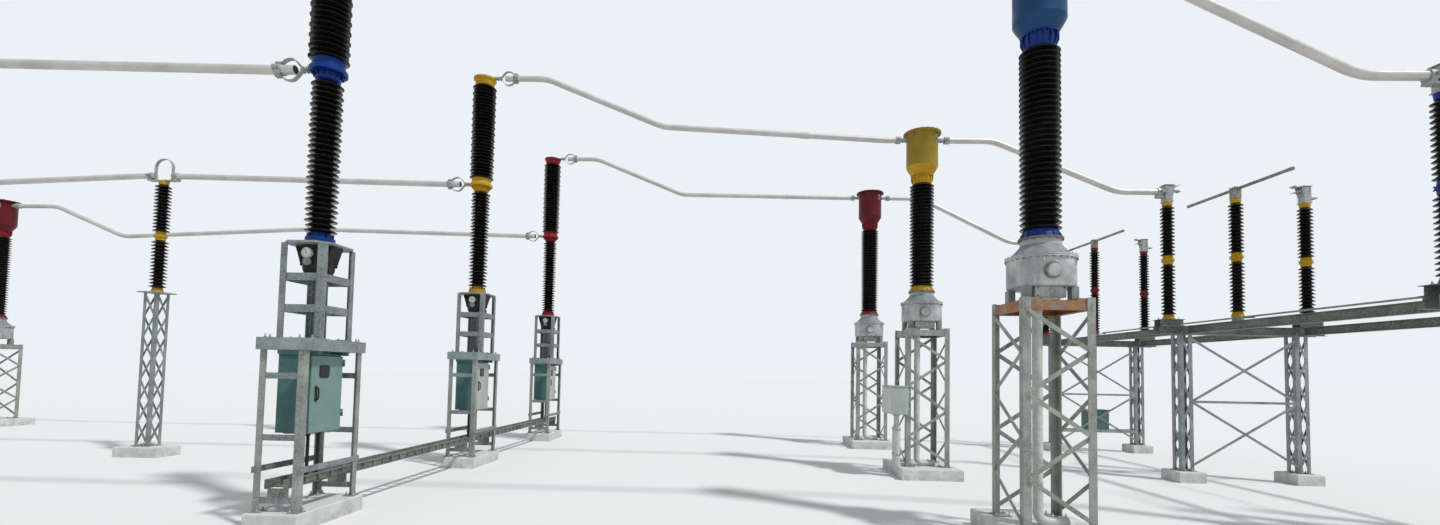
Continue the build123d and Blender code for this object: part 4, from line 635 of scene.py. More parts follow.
breaker_sheds("support_sheds", "support_insulators", 3.48, 0.095, 0.178)
breaker_sheds("interrupter_sheds", "interrupters", 5.64, 0.14, 0.225)

blue_ct, yellow_ct, red_ct = on_phases(CT_X[1])
ct_sheds = ct_stack(CT_STACK, 33).at(*LEFT_CTS, blue_ct, red_ct)
ct_sheds.put(ct_stack(CT_STACK - HEAD_DROP["yellow"], 30), yellow_ct)
ct_sheds.make("ct_sheds", "porcelain", BAY, 40, ("ct_insulators",))

post_sheds("bus_post_sheds", "post_insulators", BUS_POST_FOOT, 0.138, on_phases(POST_X))
post_sheds("outer_post_sheds", "disconnector_insulators", OUTER_POST_FOOT, 0.120, on_phases(*OUTER_X))
for phase, y in PHASES.items():
    name = f"turning_sheds_{phase}"
    spot = (DISCONNECTOR_X, y, 0)
    post_sheds(name, f"rotor_insulator_{phase}", TURNING_POST_FOOT, 0.120, [spot], f"rotor_{phase}")


# Steel stands: bolts of the lattice towers and of the breaker frames, and earth strips

PLINTH_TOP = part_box("plinths")[1][2]
FOOT_OVERHANG = 0.03
FOOT_PLATE = 0.012
CT_TOWER = 0.8
POST_TOWER = 0.27
DISCONNECTOR_TOWER = 0.23
BREAKER_FRAME = (0.52, 1.03)
BOLT = bolt(0.011, 0.010)
SMALL_BOLT = bolt(0.008, 0.007)
ANCHOR = bolt(0.015, 0.014).put(rod((0, 0, 0), (0, 0, 0.04), 0.008, 8))


def side_of(turn, reach):
    """A matrix on a stand's side: X points down, Y along the side, Z out of it."""
    side = Matrix.Translation((reach, 0, 0)) @ Matrix.Rotation(pi / 2, 4, "Y")
    return Matrix.Rotation(turn * pi / 2, 4, "Z") @ side


def brace_bolts(width, leg, low, high, panels, proud=0.0):
    """Bolts at both ends of each zigzag brace of a square lattice tower."""
    reach = width / 2 - leg / 2
    step = (high - low) / panels
    shape = Shape()
    for panel in range(panels):
        outer = (panels - 1 - panel) % 2 == 0
        lean = -reach if outer else reach
        foot = Vector((-(low + panel * step), -lean, proud if outer else 0))
        head = Vector((-(low + (panel + 1) * step), lean, foot.z))
        inset = 0.03 * (head - foot).normalized()
        for point in (foot + inset, head - inset):
            shape.put(BOLT, side_of(0, width / 2) @ Matrix.Translation(point))
    return round_about(shape, 4)


def foot_bolts(size_x, size_y, foot):
    """Three anchor bolts on each corner plate of a stand; foot is the plate's length."""
    inner = FOOT_OVERHANG - foot + 0.028
    shape = Shape()
    for x_side, y_side in CORNERS:
        for out_x, out_y in ((inner, inner), (inner, 0.015), (0.015, inner)):
            x = x_side * (size_x / 2 + out_x)
            y = y_side * (size_y / 2 + out_y)
            shape.put(ANCHOR, (x, y, PLINTH_TOP + FOOT_PLATE))
    return shape


def side_bolts(turns, reach, heights, places):
    """Small bolts on the sides of a stand, at each height and each place across."""
    shape = Shape()
    for turn, height, across in product(turns, heights, places):
        shape.put(SMALL_BOLT, side_of(turn, reach) @ Matrix.Translation((-height, across, 0)))
    return shape


tower_bolts = Shape()
for x, top, panels in ((CT_X[0], 2.16, 4), (CT_X[1], 2.64, 5)):
    tower = brace_bolts(CT_TOWER, leg=0.09, low=0.29, high=top, panels=panels, proud=0.008)
    tower.put(foot_bolts(CT_TOWER, CT_TOWER, 0.2))
    for rise, across in product((0.025, 0.075), (-0.365, 0.365)):
        spot = Matrix.Translation((-top - rise, across, 0))
        tower.put(round_about(BOLT.at(side_of(0, CT_TOWER / 2) @ spot), 4))
    tower_bolts.put(tower, *on_phases(x))
tower = brace_bolts(POST_TOWER, leg=0.06, low=0.26, high=3.21, panels=7)
tower.put(foot_bolts(POST_TOWER, POST_TOWER, 0.13))
tower_bolts.put(tower, *on_phases(POST_X))
tower = brace_bolts(DISCONNECTOR_TOWER, leg=0.07, low=0.27, high=2.72, panels=6)
tower.put(foot_bolts(DISCONNECTOR_TOWER, DISCONNECTOR_TOWER, 0.11))
tower_bolts.put(tower, *on_phases(*TOWERS_X))
tower_bolts.make("tower_bolts", BOLT_ZINC)

UPPER_ROWS = (2.508, 2.552, 2.883, 2.927)
breaker_bolts = foot_bolts(*BREAKER_FRAME, 0.13)
breaker_bolts.put(side_bolts((1, 3), 0.515, (0.335, 1.037, 1.735), (-0.235, -0.205, 0.205, 0.235)))
breaker_bolts.put(side_bolts((0, 2), 0.268, (0.675,), (-0.49, -0.46, 0.46, 0.49)))
breaker_bolts.put(side_bolts((1, 3), 0.29, UPPER_ROWS, (-0.225, 0.225)))
breaker_bolts.put(side_bolts((0, 2), 0.26, UPPER_ROWS, (-0.255, 0.255)))
for side, across in product(SIDES, (-0.2, 0.2)):
    breaker_bolts.put(ANCHOR, (across, side * 0.53, 2.17), (side * 0.25, across * 2, 2.17))
breaker_bolts.put(bolt_ring(0.19, CAP_Z - 0.012, 8, 0.010, phase=0.5))
breaker_bolts.at(*BREAKERS).make("breaker_bolts", BOLT_ZINC)

seats = Shape()
for x, y in product((-0.2, 0.2), (-0.23, 0.23)):
    seats.put(block((0.13, 0.13, 0.014), (x, y, 2.177), 0.003))
    seats.put(BOLT, (x * 0.8, y * 0.83, 2.184))
seats.at(*BREAKERS).make("upper_frame_seats", "galvanised_steel")

strip = block((0.04, 0.006, 0.75), (0, 0, 0.575), 0.001)
strip.put(block((0.04, 0.06, 0.006), (0, 0.025, PLINTH_TOP + 0.003), 0.001))
earth_strips = Shape()
for size_x, size_y, feet in ((CT_TOWER, CT_TOWER, on_phases(*CT_X)), (*BREAKER_FRAME, BREAKERS)):
    earth_strips.put(strip.at((0.045 - size_x / 2, 0.004 + size_y / 2, 0)), *feet)
earth_strips.make("earth_strips", BARE_COPPER)


# Circuit breakers: gauges, crank housings, cabinets and connectors

GAUGE_Y = -0.185
GAUGE_Z = 3.203
VALVE_DROP = 0.105
front = facing((0, GAUGE_Y, GAUGE_Z), FRONT)
rim = [(0.065, 0.006), (0.065, 0.038), (0.061, 0.0445), (0.055, 0.0445), (0.055, 0.036)]
gauge_case = turned([(0.058, 0), *rim]).at(front)
gauge_case.put(rod((0, -0.12, GAUGE_Z), (0, -0.19, GAUGE_Z), 0.022))
gauge_case.put(rod((0, -0.20, 3.16), (0, -0.20, 3.13), 0.016))
dial = turned([(0.0545, 0.0362), (0.0545, 0.038)]).at(front)
marks = round_about(block((0.010, 0.0025, 0.001), (0.044, 0, 0.0386)), 16)
marks.put(block((0.050, 0.004, 0.0012), (0.013, 0.008, 0.0392)), Matrix.Rotation(1.9, 4, "Z"))
marks.put(turned([(0.006, 0.038), (0.006, 0.041)], 12))
valve = turned([(0.043, 0), (0.050, 0.006), (0.050, 0.030), (0.042, 0.036)], 8)
valve.put(turned([(0.026, 0.036), (0.026, 0.0445)], 6))
valves = valve.at(facing((0, GAUGE_Y, GAUGE_Z - VALVE_DROP), FRONT))
cases = gauge_case.at(*BREAKERS)
cases.make("gauge_cases", GAUGE_METAL, replaces=("gas_gauges",), slot="gauge_white")
valves.at(*BREAKERS).make("gauge_valves", VALVE_GREY)
dial.at(*BREAKERS).make("gauge_dials", DIAL_WHITE)
marks.at(front).at(*BREAKERS).make("gauge_marks", BLACK, smooth=0)

SHOULDER_TOP = 3.306
edge = [(0.12, 3.06), (0.160, 3.08), (0.212, 3.25), (0.225, 3.28)]
shoulder = plate([*edge, (0.225, SHOULDER_TOP), (0.12, SHOULDER_TOP)], 0.20)
shoulders = shoulder.at((0, 0, 0), HALF_TURN)
shoulders.put(band(0.168, 0.188, 3.278, SHOULDER_TOP))
shoulders.put(round_about(block((0.03, 0.016, 0.19), (0.178, 0, 3.16), 0.004), 6, 0.5))
for side in SIDES:
    shoulders.put(rod((side * 0.188, -0.10, 3.255), (side * 0.188, -0.116, 3.255), 0.020, 24))
shoulders.put(rod((0.10, -0.08, 2.99), (0.205, -0.10, 2.985), 0.014))
shoulders.put(rod((0.19, -0.098, 2.985), (0.235, -0.106, 2.985), 0.030, 20))
shoulders.at(*BREAKERS).make("crank_shoulders", "dark_castings")

ribs = Shape()
for across in (-0.05, 0, 0.05):
    ribs.put(round_about(block((0.012, 0.014, 0.93), (0.084, across, 2.465), 0.004), 4))
# The column ribs take the drive columns' much darker zinc, which is painted shade.
column_ribs = ribs.at(*BREAKERS)
column_ribs.make("drive_column_ribs", FINISHES_AND_PAINTED_SHADE["drive_columns"], slot="galvanised_steel")

DOOR_FRONT = 0.177
HANDLE_Y = -0.1925
door = block((0.022, 0.545, 0.910), (0.166, 0, 1.520), 0.004)
for low in (1.2753, 1.8953):
    door.put(rod((0.186, 0.2855, low), (0.186, 0.2855, low + 0.045), 0.009))
    door.put(block((0.004, 0.045, 0.045), (0.179, 0.263, low + 0.0225)))
window = facing((DOOR_FRONT, -0.0625, 1.788), RIGHT)
gasket = rounded_plate(0.172, 0.150, 0.036, 0.007).at(window)
glass = rounded_plate(0.140, 0.118, 0.024, 0.0082).at(window)
handle = rounded_plate(0.040, 0.190, 0.018, 0.005).at(facing((DOOR_FRONT, HANDLE_Y, 1.525), RIGHT))
bow = [(0.178, 1.592), (0.200, 1.590), (0.211, 1.575), (0.212, 1.525)]
bow += [(0.211, 1.475), (0.200, 1.460), (0.178, 1.458)]
handle.put(hose(curve_points([(x, HANDLE_Y, z) for x, z in bow], 4), 0.009))
for phase, y in PHASES.items():
    body = f"door_{phase}"
    finish = MATERIALS["door_green" if phase == "blue" else "pale_door"]
    spot = (0, y, 0)
    node = f"cabinet_door_{phase}"
    door.at(spot).make(f"door_panel_{phase}", finish, body, 35, (node,), "door_green")
    gasket.at(spot).make(f"window_gasket_{phase}", BLACK, body)
    glass.at(spot).make(f"window_glass_{phase}", GLASS, body)
    handle.at(spot).make(f"door_handle_{phase}", BLACK, body)

trim = block((0.425, 0.575, 0.012), (-0.0225, 0, 1.991), 0.003)
trim.put(block((0.30, 0.40, 0.016), (-0.04, 0, 1.057), 0.003))
louvre = plate([(0, 0), (0.014, 0.006), (0, 0.022)], 0.30)
for z in (1.20, 1.235, 1.27, 1.305):
    trim.put(louvre, Matrix.Translation((-0.230, 0, z)) @ HALF_TURN)
for side in SIDES:
    trim.put(block((0.30, 0.006, 0.012), (-0.04, side * 0.2755, 1.955), 0.002))
    trim.put(rod((-0.19, side * 0.2725, 1.88), (-0.19, side * 0.279, 1.88), 0.011, 12))
trim.at(*BREAKERS).make("cabinet_trim", "cabinet_green")

conduits = Shape()
for x, y in ((-0.03, -0.11), (0.05, -0.11), (0.01, 0.12)):
    conduits.put(rod((x, y, 0.50), (x, y, 1.05), 0.019))
    for z in (0.62, 1.015):
        conduits.put(rod((x, y, z), (x, y, z + 0.035), 0.027, 6))
conduits.at(*BREAKERS).make("cabinet_conduits", BLACK)

# Laminated straps of the breaker connectors, bolted to a tube sleeve and to a flat palm
bulge = [(0.190, 0.080), (0.110, 0.083), (0.065, 0.116), (0.005, 0.135), (-0.055, 0.120)]
bulge += [(-0.105, 0.068), (-0.142, 0.024), (-0.185, 0.0155), (-0.235, 0.0155)]
curve = curve_points([(x, 0, z) for x, z in bulge], 5)
connector = band(0.057, 0.072, 0, 0.09).at(facing((0.105, 0, 0), RIGHT))
connector.put(block((0.052, 0.060, 0.024), (-0.159, 0, 0), 0.003))
connector_bolts = Shape()
for side in SIDES:
    for lift in (0, 0.0065):
        connector.put(strap([(point.x, side * (point.z + lift)) for point in curve], 0.005, 0.058))
    connector.put(block((0.07, 0.062, 0.008), (0.152, 0, side * 0.074), 0.002))
    for y in (-0.017, 0.017):
        for x, z in ((0.135, 0.089), (0.172, 0.089), (-0.215, 0.0245), (-0.165, 0.0245)):
            connector_bolts.put(BOLT, facing((x, y, side * z), (0, 0, side)))
        connector_bolts.put(SMALL_BOLT, facing((0.065, y, side * 0.1285), (0.4, 0, side * 0.9)))
opening = turned([(0.050, 0), (0.050, 0.0015)], 24).at(facing((-0.0605, 0, 0), (-1, 0, 0)))
ends = [Matrix.Translation((0.48, y, CAP_Z)) for y in PHASES.values()]
ends += [Matrix.Translation((-0.48, y, WAIST_Z)) @ HALF_TURN for y in PHASES.values()]
connector.at(*ends).make("connector_straps", "contact_aluminium", BAY, 30, ("expansion_loops",))
connector_bolts.at(*ends).make("connector_bolts", BOLT_ZINC)
opening.at(*ends).make("tube_openings", BLACK)


# Current transformers: tanks, ribbed collars and heads

# The tank's wall, its bolted rim, and the slope up to the insulator
outline = [(0.352, 2.924), (0.364, 2.929), (0.370, 2.942), (0.370, 3.254)]
outline += [(0.388, 3.255), (0.388, 3.270), (0.383, 3.271), (0.383, 3.273), (0.388, 3.274)]
outline += [(0.388, 3.289), (0.358, 3.290), (0.345, 3.298), (0.300, 3.342), (0.255, 3.392)]
outline += [(0.238, 3.414), (0.228, 3.425), (0.224, 3.440), (0.224, 3.497)]
tank = turned(outline, 64)
port_at = facing((-0.05, -0.352, 3.089), FRONT)
port = [(0, 0), (0.089, 0), (0.089, 0.026), (0.077, 0.028), (0.075, 0.064), (0.068, 0.070), (0, 0.071)]
tank.put(lathe(port), port_at)
tank.put(block((0.35, 0.27, 0.130), (-0.02, -0.135, 2.859), 0.006))
hatch = [(0.058, 0), (0.058, 0.008), (0.040, 0.009), (0.038, 0.018), (0.018, 0.020), (0.016, 0.029)]
tank.put(turned(hatch, 28), facing((0.02, -0.27, 2.862), FRONT))
lug = plate([(0.368, 3.16), (0.385, 3.18), (0.385, 3.22), (0.368, 3.235)], 0.014)
tank.put(lug, *[Matrix.Rotation(angle, 4, "Z") for angle in (0.6, 2.2, 3.9, 5.5)])
tank.put(rod((-0.15, -0.355, 3.215), (-0.15, -0.380, 3.215), 0.010, 12))
tank.put(rod((-0.15, -0.376, 3.232), (-0.15, -0.376, 3.190), 0.009, 12))
tank_bolts = bolt_ring(0.379, 3.289, 30, 0.008).put(bolt_ring(0.379, 3.255, 30, 0.008, down=True))
tank_bolts.put(bolt_ring(0.234, 3.498, 16, 0.010, down=True))
for x, z in product((-0.17, 0.13), (2.815, 2.905)):
    tank_bolts.put(SMALL_BOLT, facing((x, -0.27, z), FRONT))
all_cts = LEFT_CTS + on_phases(CT_X[1])
tank.at(*all_cts).make("transformer_tanks", "tank_grey", BAY, 30, ("ct_tanks",))
tank_bolts.at(*all_cts).make("tank_bolts", RUSTY_BOLT)
band(0.19, 0.246, 3.498, 3.520, 48).at(*all_cts).make("tank_clamp_rings", CLAMP_STEEL)
# A dark rust-brown ring at the foot of each port, as painted shade round the port.
band(0.076, 0.096, 0, 0.030).at(port_at).at(*all_cts).make("port_seats_painted_shade", RUSTY_BOLT)

gusset = plate([(0.185, 3.519), (0.230, 3.519), (0.230, 3.535), (0.203, 3.590), (0.185, 3.600)], 0.012)
foot_ribs = round_about(gusset, 14)
skirt = turned([(0.203, 5.989), (0.207, 5.993), (0.292, 6.140), (0.297, 6.152)], 56)
# The head's wall and its bolted lid
outline = [(0.296, 6.15), (0.296, 6.774), (0.302, 6.786), (0.350, 6.789), (0.355, 6.793)]
outline += [(0.355, 6.804), (0.350, 6.806), (0.350, 6.808), (0.355, 6.810), (0.355, 6.820)]
head = turned([*outline, (0.350, 6.824)], 56)
eye = plate([(0.296, 6.70), (0.325, 6.72), (0.325, 6.76), (0.296, 6.785)], 0.016)
head.put(eye, *[Matrix.Rotation(angle, 4, "Z") for angle in (0.8, 2.4, 3.9, 5.5)])
neck = [(0.168, 5.814), (0.172, 5.82), (0.172, 5.84), (0.186, 5.89), (0.186, 5.972)]
collar = turned([*neck, (0.211, 5.974), (0.211, 5.989)], 48)
fin = plate([(0.165, 5.832), (0.180, 5.832), (0.210, 5.900), (0.210, 5.975), (0.165, 5.975)], 0.014)
collar.put(round_about(fin, 14))
head_bolts = bolt_ring(0.328, 6.789, 20, 0.010, down=True).put(bolt_ring(0.34, 6.824, 20, 0.008))
head_bolts.put(bolt_ring(0.198, 5.974, 14, 0.008, down=True, phase=0.5))
# The oil level windows face half to the front and half to the right
LEVEL_ANGLE = -0.9
look = Vector((cos(LEVEL_ANGLE), sin(LEVEL_ANGLE), 0))
level_at = facing(look * 0.29 + Vector((0, 0, 6.66)), look)
level = rounded_plate(0.062, 0.150, 0.030, 0.022).at(level_at)
level_glass = rounded_plate(0.026, 0.100, 0.012, 0.0235).at(level_at)
for phase, y in PHASES.items():
    places = [(CT_X[0], y, -LEFT_CT_DROP), (CT_X[1], y, -HEAD_DROP[phase])]
    colour = f"phase_{phase}"
    heads = head.at(*places)
    collars = collar.at(*places).put(foot_ribs, places[0], (CT_X[1], y, 0))
    # Only the yellow skirts are as bright as their collars
    (collars if phase == "yellow" else heads).put(skirt, *places)
    name = f"transformer_head_{phase}"
    heads.make(name, MATERIALS[f"head_{phase}"], BAY, 30, (f"ct_heads_{phase}",), colour)
    collars.make(f"transformer_collars_{phase}", colour)
    head_bolts.at(*places).make(f"head_bolts_{phase}", MATERIALS[colour])
    level.at(*places).make(f"level_frames_{phase}", LEVEL_GREY)
    level_glass.at(*places).make(f"level_glasses_{phase}", GLASS)

pads = [(*spot, 1) for spot in LEFT_CTS]
pads += [(CT_X[1], y, -HEAD_DROP[phase], side) for phase, y in PHASES.items() for side in SIDES]
pad_bolts = Shape()
for x, y, lift, side in pads:
    for near, across in product((0.321, 0.371), (-0.025, 0.025)):
        spot = (x + side * near, y + across, TERMINAL_Z + 0.020 + lift)
        pad_bolts.put(BOLT, spot, facing((*spot[:2], TERMINAL_Z - 0.024 + lift), DOWN))
pad_bolts.make("terminal_bolts", BOLT_ZINC)


# Post insulators, tube clamps, couplings and saddles


def flange_bolts(base):
    """Bolts through the waist and the base flange of a post insulator that stands at base."""
    waist = base + POST_FLANGE + POST_UNIT + POST_WAIST / 2
    shape = bolt_ring(0.100, waist + 0.016, 8, 0.010)
    shape.put(bolt_ring(0.100, waist - 0.016, 8, 0.010, down=True))
    return shape.put(bolt_ring(0.088, base + 0.016, 4, 0.009, phase=0.5))


breaker_flanges = bolt_ring(0.141, 3.415, 8, 0.012)
breaker_flanges.put(bolt_ring(0.176, 5.485, 12, 0.013, down=True))
breaker_flanges.put(band(0.176, 0.181, 5.60, 5.62, 48))
breaker_flanges.put(round_about(block((0.045, 0.010, 0.05), (0.146, 0, 5.455), 0.002), 12, 0.5))
breaker_flanges.put(round_about(block((0.03, 0.010, 0.055), (0.130, 0, 3.443), 0.002), 8, 0.5))
for phase, y in PHASES.items():
    painted = breaker_flanges.at((0, y, 0)).put(flange_bolts(BUS_POST_FOOT), (POST_X, y, 0))
    painted.put(flange_bolts(OUTER_POST_FOOT), *[(x, y, 0) for x in OUTER_X])
    painted.make(f"flange_bolts_{phase}", f"phase_{phase}")
    turning = flange_bolts(TURNING_POST_FOOT).at((DISCONNECTOR_X, y, 0))
    turning.make(f"turning_bolts_{phase}", f"phase_{phase}", f"rotor_{phase}")

ears = Shape()
ear_bolts = Shape()
ear = block((0.066, 0.034, 0.018), bevel=0.003)
for side in SIDES:
    ears.put(ear, (0, side * 0.086, -0.011), (0, side * 0.086, 0.011))
    for across in (-0.018, 0.018):
        ear_bolts.put(BOLT, (across, side * 0.089, 0.020), facing((across, side * 0.089, -0.020), DOWN))
spots = []
for phase, y in PHASES.items():
    spots += [(POST_X + side * 0.265, y, 5.641) for side in SIDES]
    spots += [(0.630, y, CAP_Z), (-0.630, y, WAIST_Z), (OUTER_X[0] - 0.125, y, 5.520)]
    spots.append((CT_X[0] + 0.471, y, TERMINAL_Z - LEFT_CT_DROP))
    spots += [(CT_X[1] + side * 0.471, y, TERMINAL_Z - HEAD_DROP[phase]) for side in SIDES]
ears.at(*spots).make("clamp_ears", "contact_aluminium")
ear_bolts.at(*spots).make("clamp_bolts", BOLT_ZINC)

couplings = Shape()
sleeve = turned([(0.060, 0), (0.066, 0.006), (0.066, 0.164), (0.060, 0.17)])
for phase, y in PHASES.items():
    start = Vector((3.62, y, 6.735))
    end = Vector((CT_X[1] - 0.706, y, TERMINAL_Z - HEAD_DROP[phase]))
    couplings.put(sleeve, along(start.lerp(end, 0.62), end))
couplings.make("tube_couplings", "tube_aluminium")

saddle_bolts = Shape()
arch_feet = Shape()
for side in SIDES:
    arch_feet.put(block((0.07, 0.085, 0.012), (side * 0.185, 0, 5.560), 0.002))
    for across in (-0.043, 0.043):
        saddle_bolts.put(BOLT, (side * 0.075, across, 5.554), (side * 0.225, across * 0.8, 5.566))
    for z, out in product((5.62, 5.70), SIDES):
        saddle_bolts.put(SMALL_BOLT, facing((side * 0.185 + out * 0.0125, 0, z), (out, 0, 0)))
saddle_bolts.at(*on_phases(POST_X)).make("saddle_bolts", BOLT_ZINC)
arch_feet.at(*on_phases(POST_X)).make("arch_feet", "contact_aluminium")


# Disconnector: contact heads, blades, base frames, drive box and the junction box beside it

contact = block((0.142, 0.142, 0.318), (0, 0, 5.483), 0.008)
contact.put(block((0.166, 0.166, 0.012), (0, 0, 5.328), 0.003))
contact.put(block((0.178, 0.170, 0.010), (0, 0, 5.648), 0.003))
contact.put(block((0.150, 0.150, 0.008), (0, 0, 5.452), 0.002))
contact.put(block((0.148, 0.110, 0.024), (0.131, 0, 5.421), 0.003))
cheek = plate([(-0.075, 5.46), (-0.075, 5.645), (-0.115, 5.645)], 0.008)
for side in SIDES:
    contact.put(cheek, (0, side * 0.066, 0))
    near = BLADE_Z + side * 0.038
    flare = near + side * 0.025
    outline = [(-0.07, near), (-0.18, near), (-0.225, flare), (-0.225, flare + side * 0.012)]
    outline += [(-0.18, near + side * 0.012), (-0.07, near + side * 0.014)]
    contact.put(plate(outline, 0.024), *[(0, lane, 0) for lane in (-0.045, -0.015, 0.015, 0.045)])
    contact.put(block((0.05, 0.126, 0.010), (-0.098, 0, near + side * 0.018), 0.002))
contact_bolts = Shape()
for x, y in product((0.115, 0.165), (-0.025, 0.025)):
    contact_bolts.put(BOLT, (x, y, 5.433), facing((x, y, 5.409), DOWN))
for x, y in product((-0.05, 0.05), (-0.058, 0.058)):
    contact_bolts.put(SMALL_BOLT, (x, y, 5.653), (x * 1.3, y * 1.2, 5.334))
for side, z in product(SIDES, (5.50, 5.56)):
    contact_bolts.put(BOLT, facing((0.03, side * 0.071, z), (0, side, 0)))
heads = [Matrix.Translation((OUTER_X[0], y, 0)) @ HALF_TURN for y in PHASES.values()]
heads += on_phases(OUTER_X[1])
contact.at(*heads).make("contact_heads", "contact_aluminium", BAY, 30, ("disconnector_contacts",))
contact_bolts.at(*heads).make("contact_bolts", BOLT_ZINC)

BLADE_REACH = 1.205
blade = block((0.10, 0.15, 0.012), (0, 0, 5.403), 0.002)
blade.put(block((0.118, 0.158, 0.205), (0, 0, 5.505), 0.010))
blade_bolts = Shape()
for lane in (-0.055, 0, 0.055):
    blade.put(band(0.030, 0.037, -0.012, 0.012, 20), facing((0, lane, BLADE_Z), (0, 1, 0)))
    blade.put(block((0.128, 0.024, 0.016), (0, lane, BLADE_Z + 0.031), 0.003))
    blade_bolts.put(SMALL_BOLT, (-0.050, lane, BLADE_Z + 0.039), (0.050, lane, BLADE_Z + 0.039))
for side in SIDES:
    tube_end = side * (BLADE_REACH - 0.14)
    blade.put(rod((0, side * 0.02, BLADE_Z), (0, tube_end, BLADE_Z), 0.030, 24))
    blade.put(rod((0, tube_end - side * 0.03, BLADE_Z), (0, tube_end + side * 0.02, BLADE_Z), 0.0295, 24))
    blade.put(block((0.050, 0.15, 0.056), (0, side * (BLADE_REACH - 0.075), BLADE_Z), 0.008))
crank_bolts = bolt_ring(0.072, 3.093, 6, 0.009, down=True)
for phase, y in PHASES.items():
    body = f"rotor_{phase}"
    spot = (DISCONNECTOR_X, y, 0)
    node = f"disconnector_blade_{phase}"
    blade.at(spot).make(f"blade_{phase}", BLADE_METAL, body, 30, (node,), "tube_aluminium")
    blade_bolts.at(spot).make(f"blade_bolts_{phase}", BOLT_ZINC, body)
    crank_bolts.at(spot).make(f"crank_bolts_{phase}", BOLT_ZINC, body)

frame_bolts = Shape()
for x, across, side in product(OUTER_X, (-0.15, 0.15), SIDES):
    frame_bolts.put(ANCHOR, (x + across, side * 0.055, OUTER_POST_FOOT))
    frame_bolts.put(BOLT, (x + across, side * 0.12, 2.930))
for x_side, y_side in CORNERS:
    frame_bolts.put(ANCHOR, *[(x + x_side * 0.085, y_side * 0.118, 2.788) for x in TOWERS_X])
    frame_bolts.put(ANCHOR, (DISCONNECTOR_X + x_side * 0.12, y_side * 0.12, 2.936))
frame_bolts.at(*on_phases(0)).make("base_frame_bolts", BOLT_ZINC)

drive_box = (DISCONNECTOR_X, PHASES["red"], 0)
box_trim = block((0.60, 0.335, 0.014), (0, 0.045, 1.097), 0.004)
box_trim.put(block((0.50, 0.010, 0.42), (0, -0.108, 0.84), 0.003))
for z in (0.72, 0.96):
    box_trim.put(rod((0.262, -0.111, z - 0.025), (0.262, -0.111, z + 0.025), 0.009))
box_trim.at(drive_box).make("drive_box_trim", "cabinet_green")
box_handle = rounded_plate(0.034, 0.12, 0.015, 0.010).at(facing((-0.20, -0.113, 0.85), FRONT))
box_handle.put(rod((-0.20, -0.12, 0.86), (-0.20, -0.145, 0.86), 0.012))
box_handle.put(block((0.024, 0.012, 0.10), (-0.20, -0.148, 0.82), 0.004))
box_handle.at(drive_box).make("drive_box_handle", BLACK)

junction_box = (8.177, -0.155, 0)
junction_trim = block((0.31, 0.81, 0.014), (0, 0, 1.687), 0.004)
junction_trim.put(block((0.290, 0.010, 0.490), (0, -0.386, 1.420), 0.003))
junction_trim.at(junction_box).make("junction_box_trim", "box_grey")
junction_door = block((0.012, 0.735, 0.480), (-0.14, 0, 1.420), 0.004)
junction_door.at(junction_box).make("junction_box_door", MATERIALS["box_door"], slot="box_grey")
fittings = Shape()
for z in (1.27, 1.57):
    fittings.put(rod((-0.143, 0.367, z - 0.03), (-0.143, 0.367, z + 0.03), 0.009))
    fittings.put(rod((-0.145, -0.315, z), (-0.153, -0.315, z), 0.016))
    fittings.put(block((0.10, 0.60, 0.035), (0.135, 0, z), 0.004))
for y in (-0.19, -0.04):
    for z in (0.40, 0.86):
        fittings.put(rod((0, y, z), (0, y, z + 0.05), 0.062, 24))
    fittings.put(rod((0, y, 1.125), (0, y, 1.165), 0.042, 6))
fittings.at(junction_box).make("junction_box_fittings", BOLT_ZINC)


# Stage, light and camera

FLOOR_CORNERS = ((-150, -60, 0), (150, -60, 0), (150, 240, 0), (-150, 240, 0))
FLOOR_GREY = (0.74, 0.74, 0.73)
SKY_LIGHT = (0.86, 0.90, 0.95)
SKY_STRENGTH = 0.52
BACKDROP = (0.84, 0.88, 0.92)
SUN_STRENGTH = 2.5
SUN_HEADING = Vector((-0.55, 0.35, -1.0))

floor_mesh = bpy.data.meshes.new("floor")
floor_mesh.from_pydata(FLOOR_CORNERS, [], [(0, 1, 2, 3)])
floor = new_object("floor", floor_mesh)
floor_mesh.materials.append(Nodes("pale_floor").finish(FLOOR_GREY, 0.9))

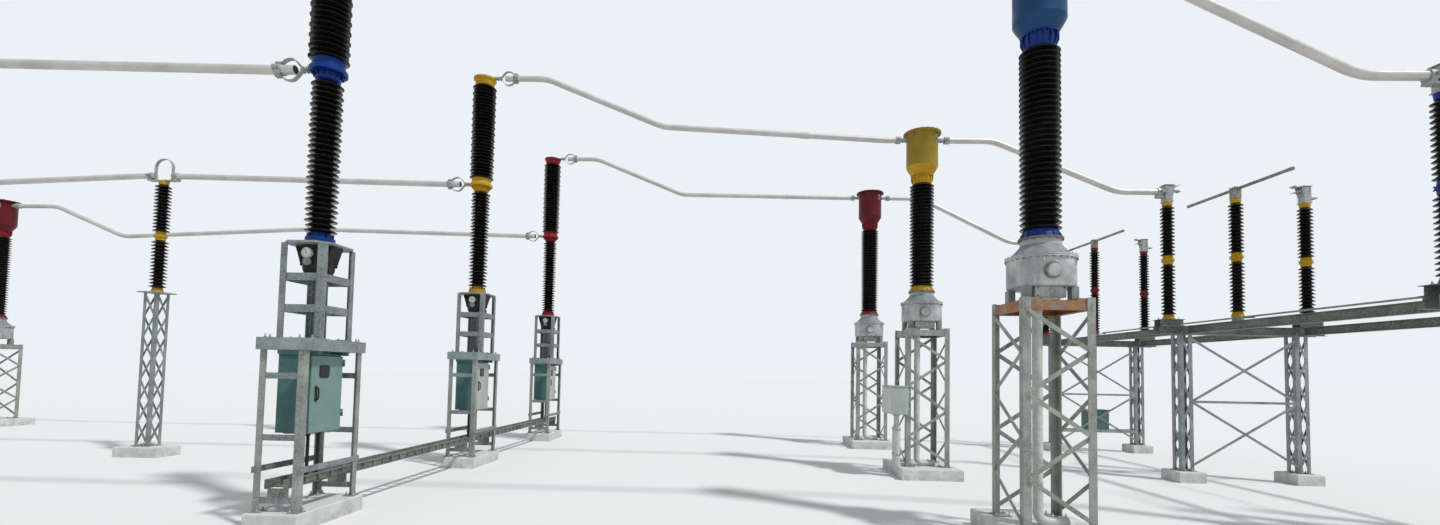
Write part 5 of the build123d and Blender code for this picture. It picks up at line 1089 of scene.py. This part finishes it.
# The backdrop shows to the camera, to mirrors and through glass; the sky lights the rest
world = bpy.data.worlds.new("pale_sky")
bpy.context.scene.world = world
world.use_nodes = True
nodes = world.node_tree.nodes
link = world.node_tree.links.new
background = nodes["Background"]
background.inputs["Color"].default_value = (*SKY_LIGHT, 1)
background.inputs["Strength"].default_value = SKY_STRENGTH
backdrop = nodes.new("ShaderNodeBackground")
backdrop.inputs["Color"].default_value = (*BACKDROP, 1)
chooser = nodes.new("ShaderNodeMixShader")
rays = nodes.new("ShaderNodeLightPath")
seen = rays.outputs["Is Camera Ray"]
for kind in ("Is Glossy Ray", "Is Transmission Ray"):
    either = nodes.new("ShaderNodeMath")
    either.operation = "MAXIMUM"
    link(seen, either.inputs[0])
    link(rays.outputs[kind], either.inputs[1])
    seen = either.outputs[0]
link(seen, chooser.inputs["Fac"])
link(background.outputs[0], chooser.inputs[1])
link(backdrop.outputs[0], chooser.inputs[2])
link(chooser.outputs[0], nodes["World Output"].inputs["Surface"])

lamp = bpy.data.lights.new("sun", "SUN")
lamp.energy = SUN_STRENGTH
lamp.angle = radians(4)
sun = new_object("sun", lamp)
sun.rotation_euler = SUN_HEADING.to_track_quat("-Z", "Y").to_euler()

bpy.context.scene.view_settings.view_transform = "Standard"

# The photo's camera, solved from its straight lines: place in metres, angles in radians
PHOTO_WIDTH = 1440
PHOTO_HEIGHT = 525
FOCAL_PX = 596.9
PRINCIPAL_PX = (716.44, 346.44)
SENSOR = 36
CAMERA_PLACE = (5.117, -11.625, 1.853)
YAW, PITCH, ROLL = -0.0305, 0.0456, 0.0194
forward = Vector((sin(YAW) * cos(PITCH), cos(YAW) * cos(PITCH), sin(PITCH)))
level_right = Vector((cos(YAW), -sin(YAW), 0))
level_up = level_right.cross(forward)
right = cos(ROLL) * level_right + sin(ROLL) * level_up
up = -sin(ROLL) * level_right + cos(ROLL) * level_up
camera_data = bpy.data.cameras.new("camera")
camera_data.sensor_fit = "HORIZONTAL"
camera_data.sensor_width = SENSOR
camera_data.lens = SENSOR * FOCAL_PX / PHOTO_WIDTH
camera_data.shift_x = (PHOTO_WIDTH / 2 - PRINCIPAL_PX[0]) / PHOTO_WIDTH
camera_data.shift_y = (PRINCIPAL_PX[1] - PHOTO_HEIGHT / 2) / PHOTO_WIDTH
camera_data.clip_end = 500
camera = new_object("camera", camera_data)
turned = Matrix((right, up, -forward)).transposed().to_4x4()
camera.matrix_world = Matrix.Translation(CAMERA_PLACE) @ turned
bpy.context.scene.camera = camera
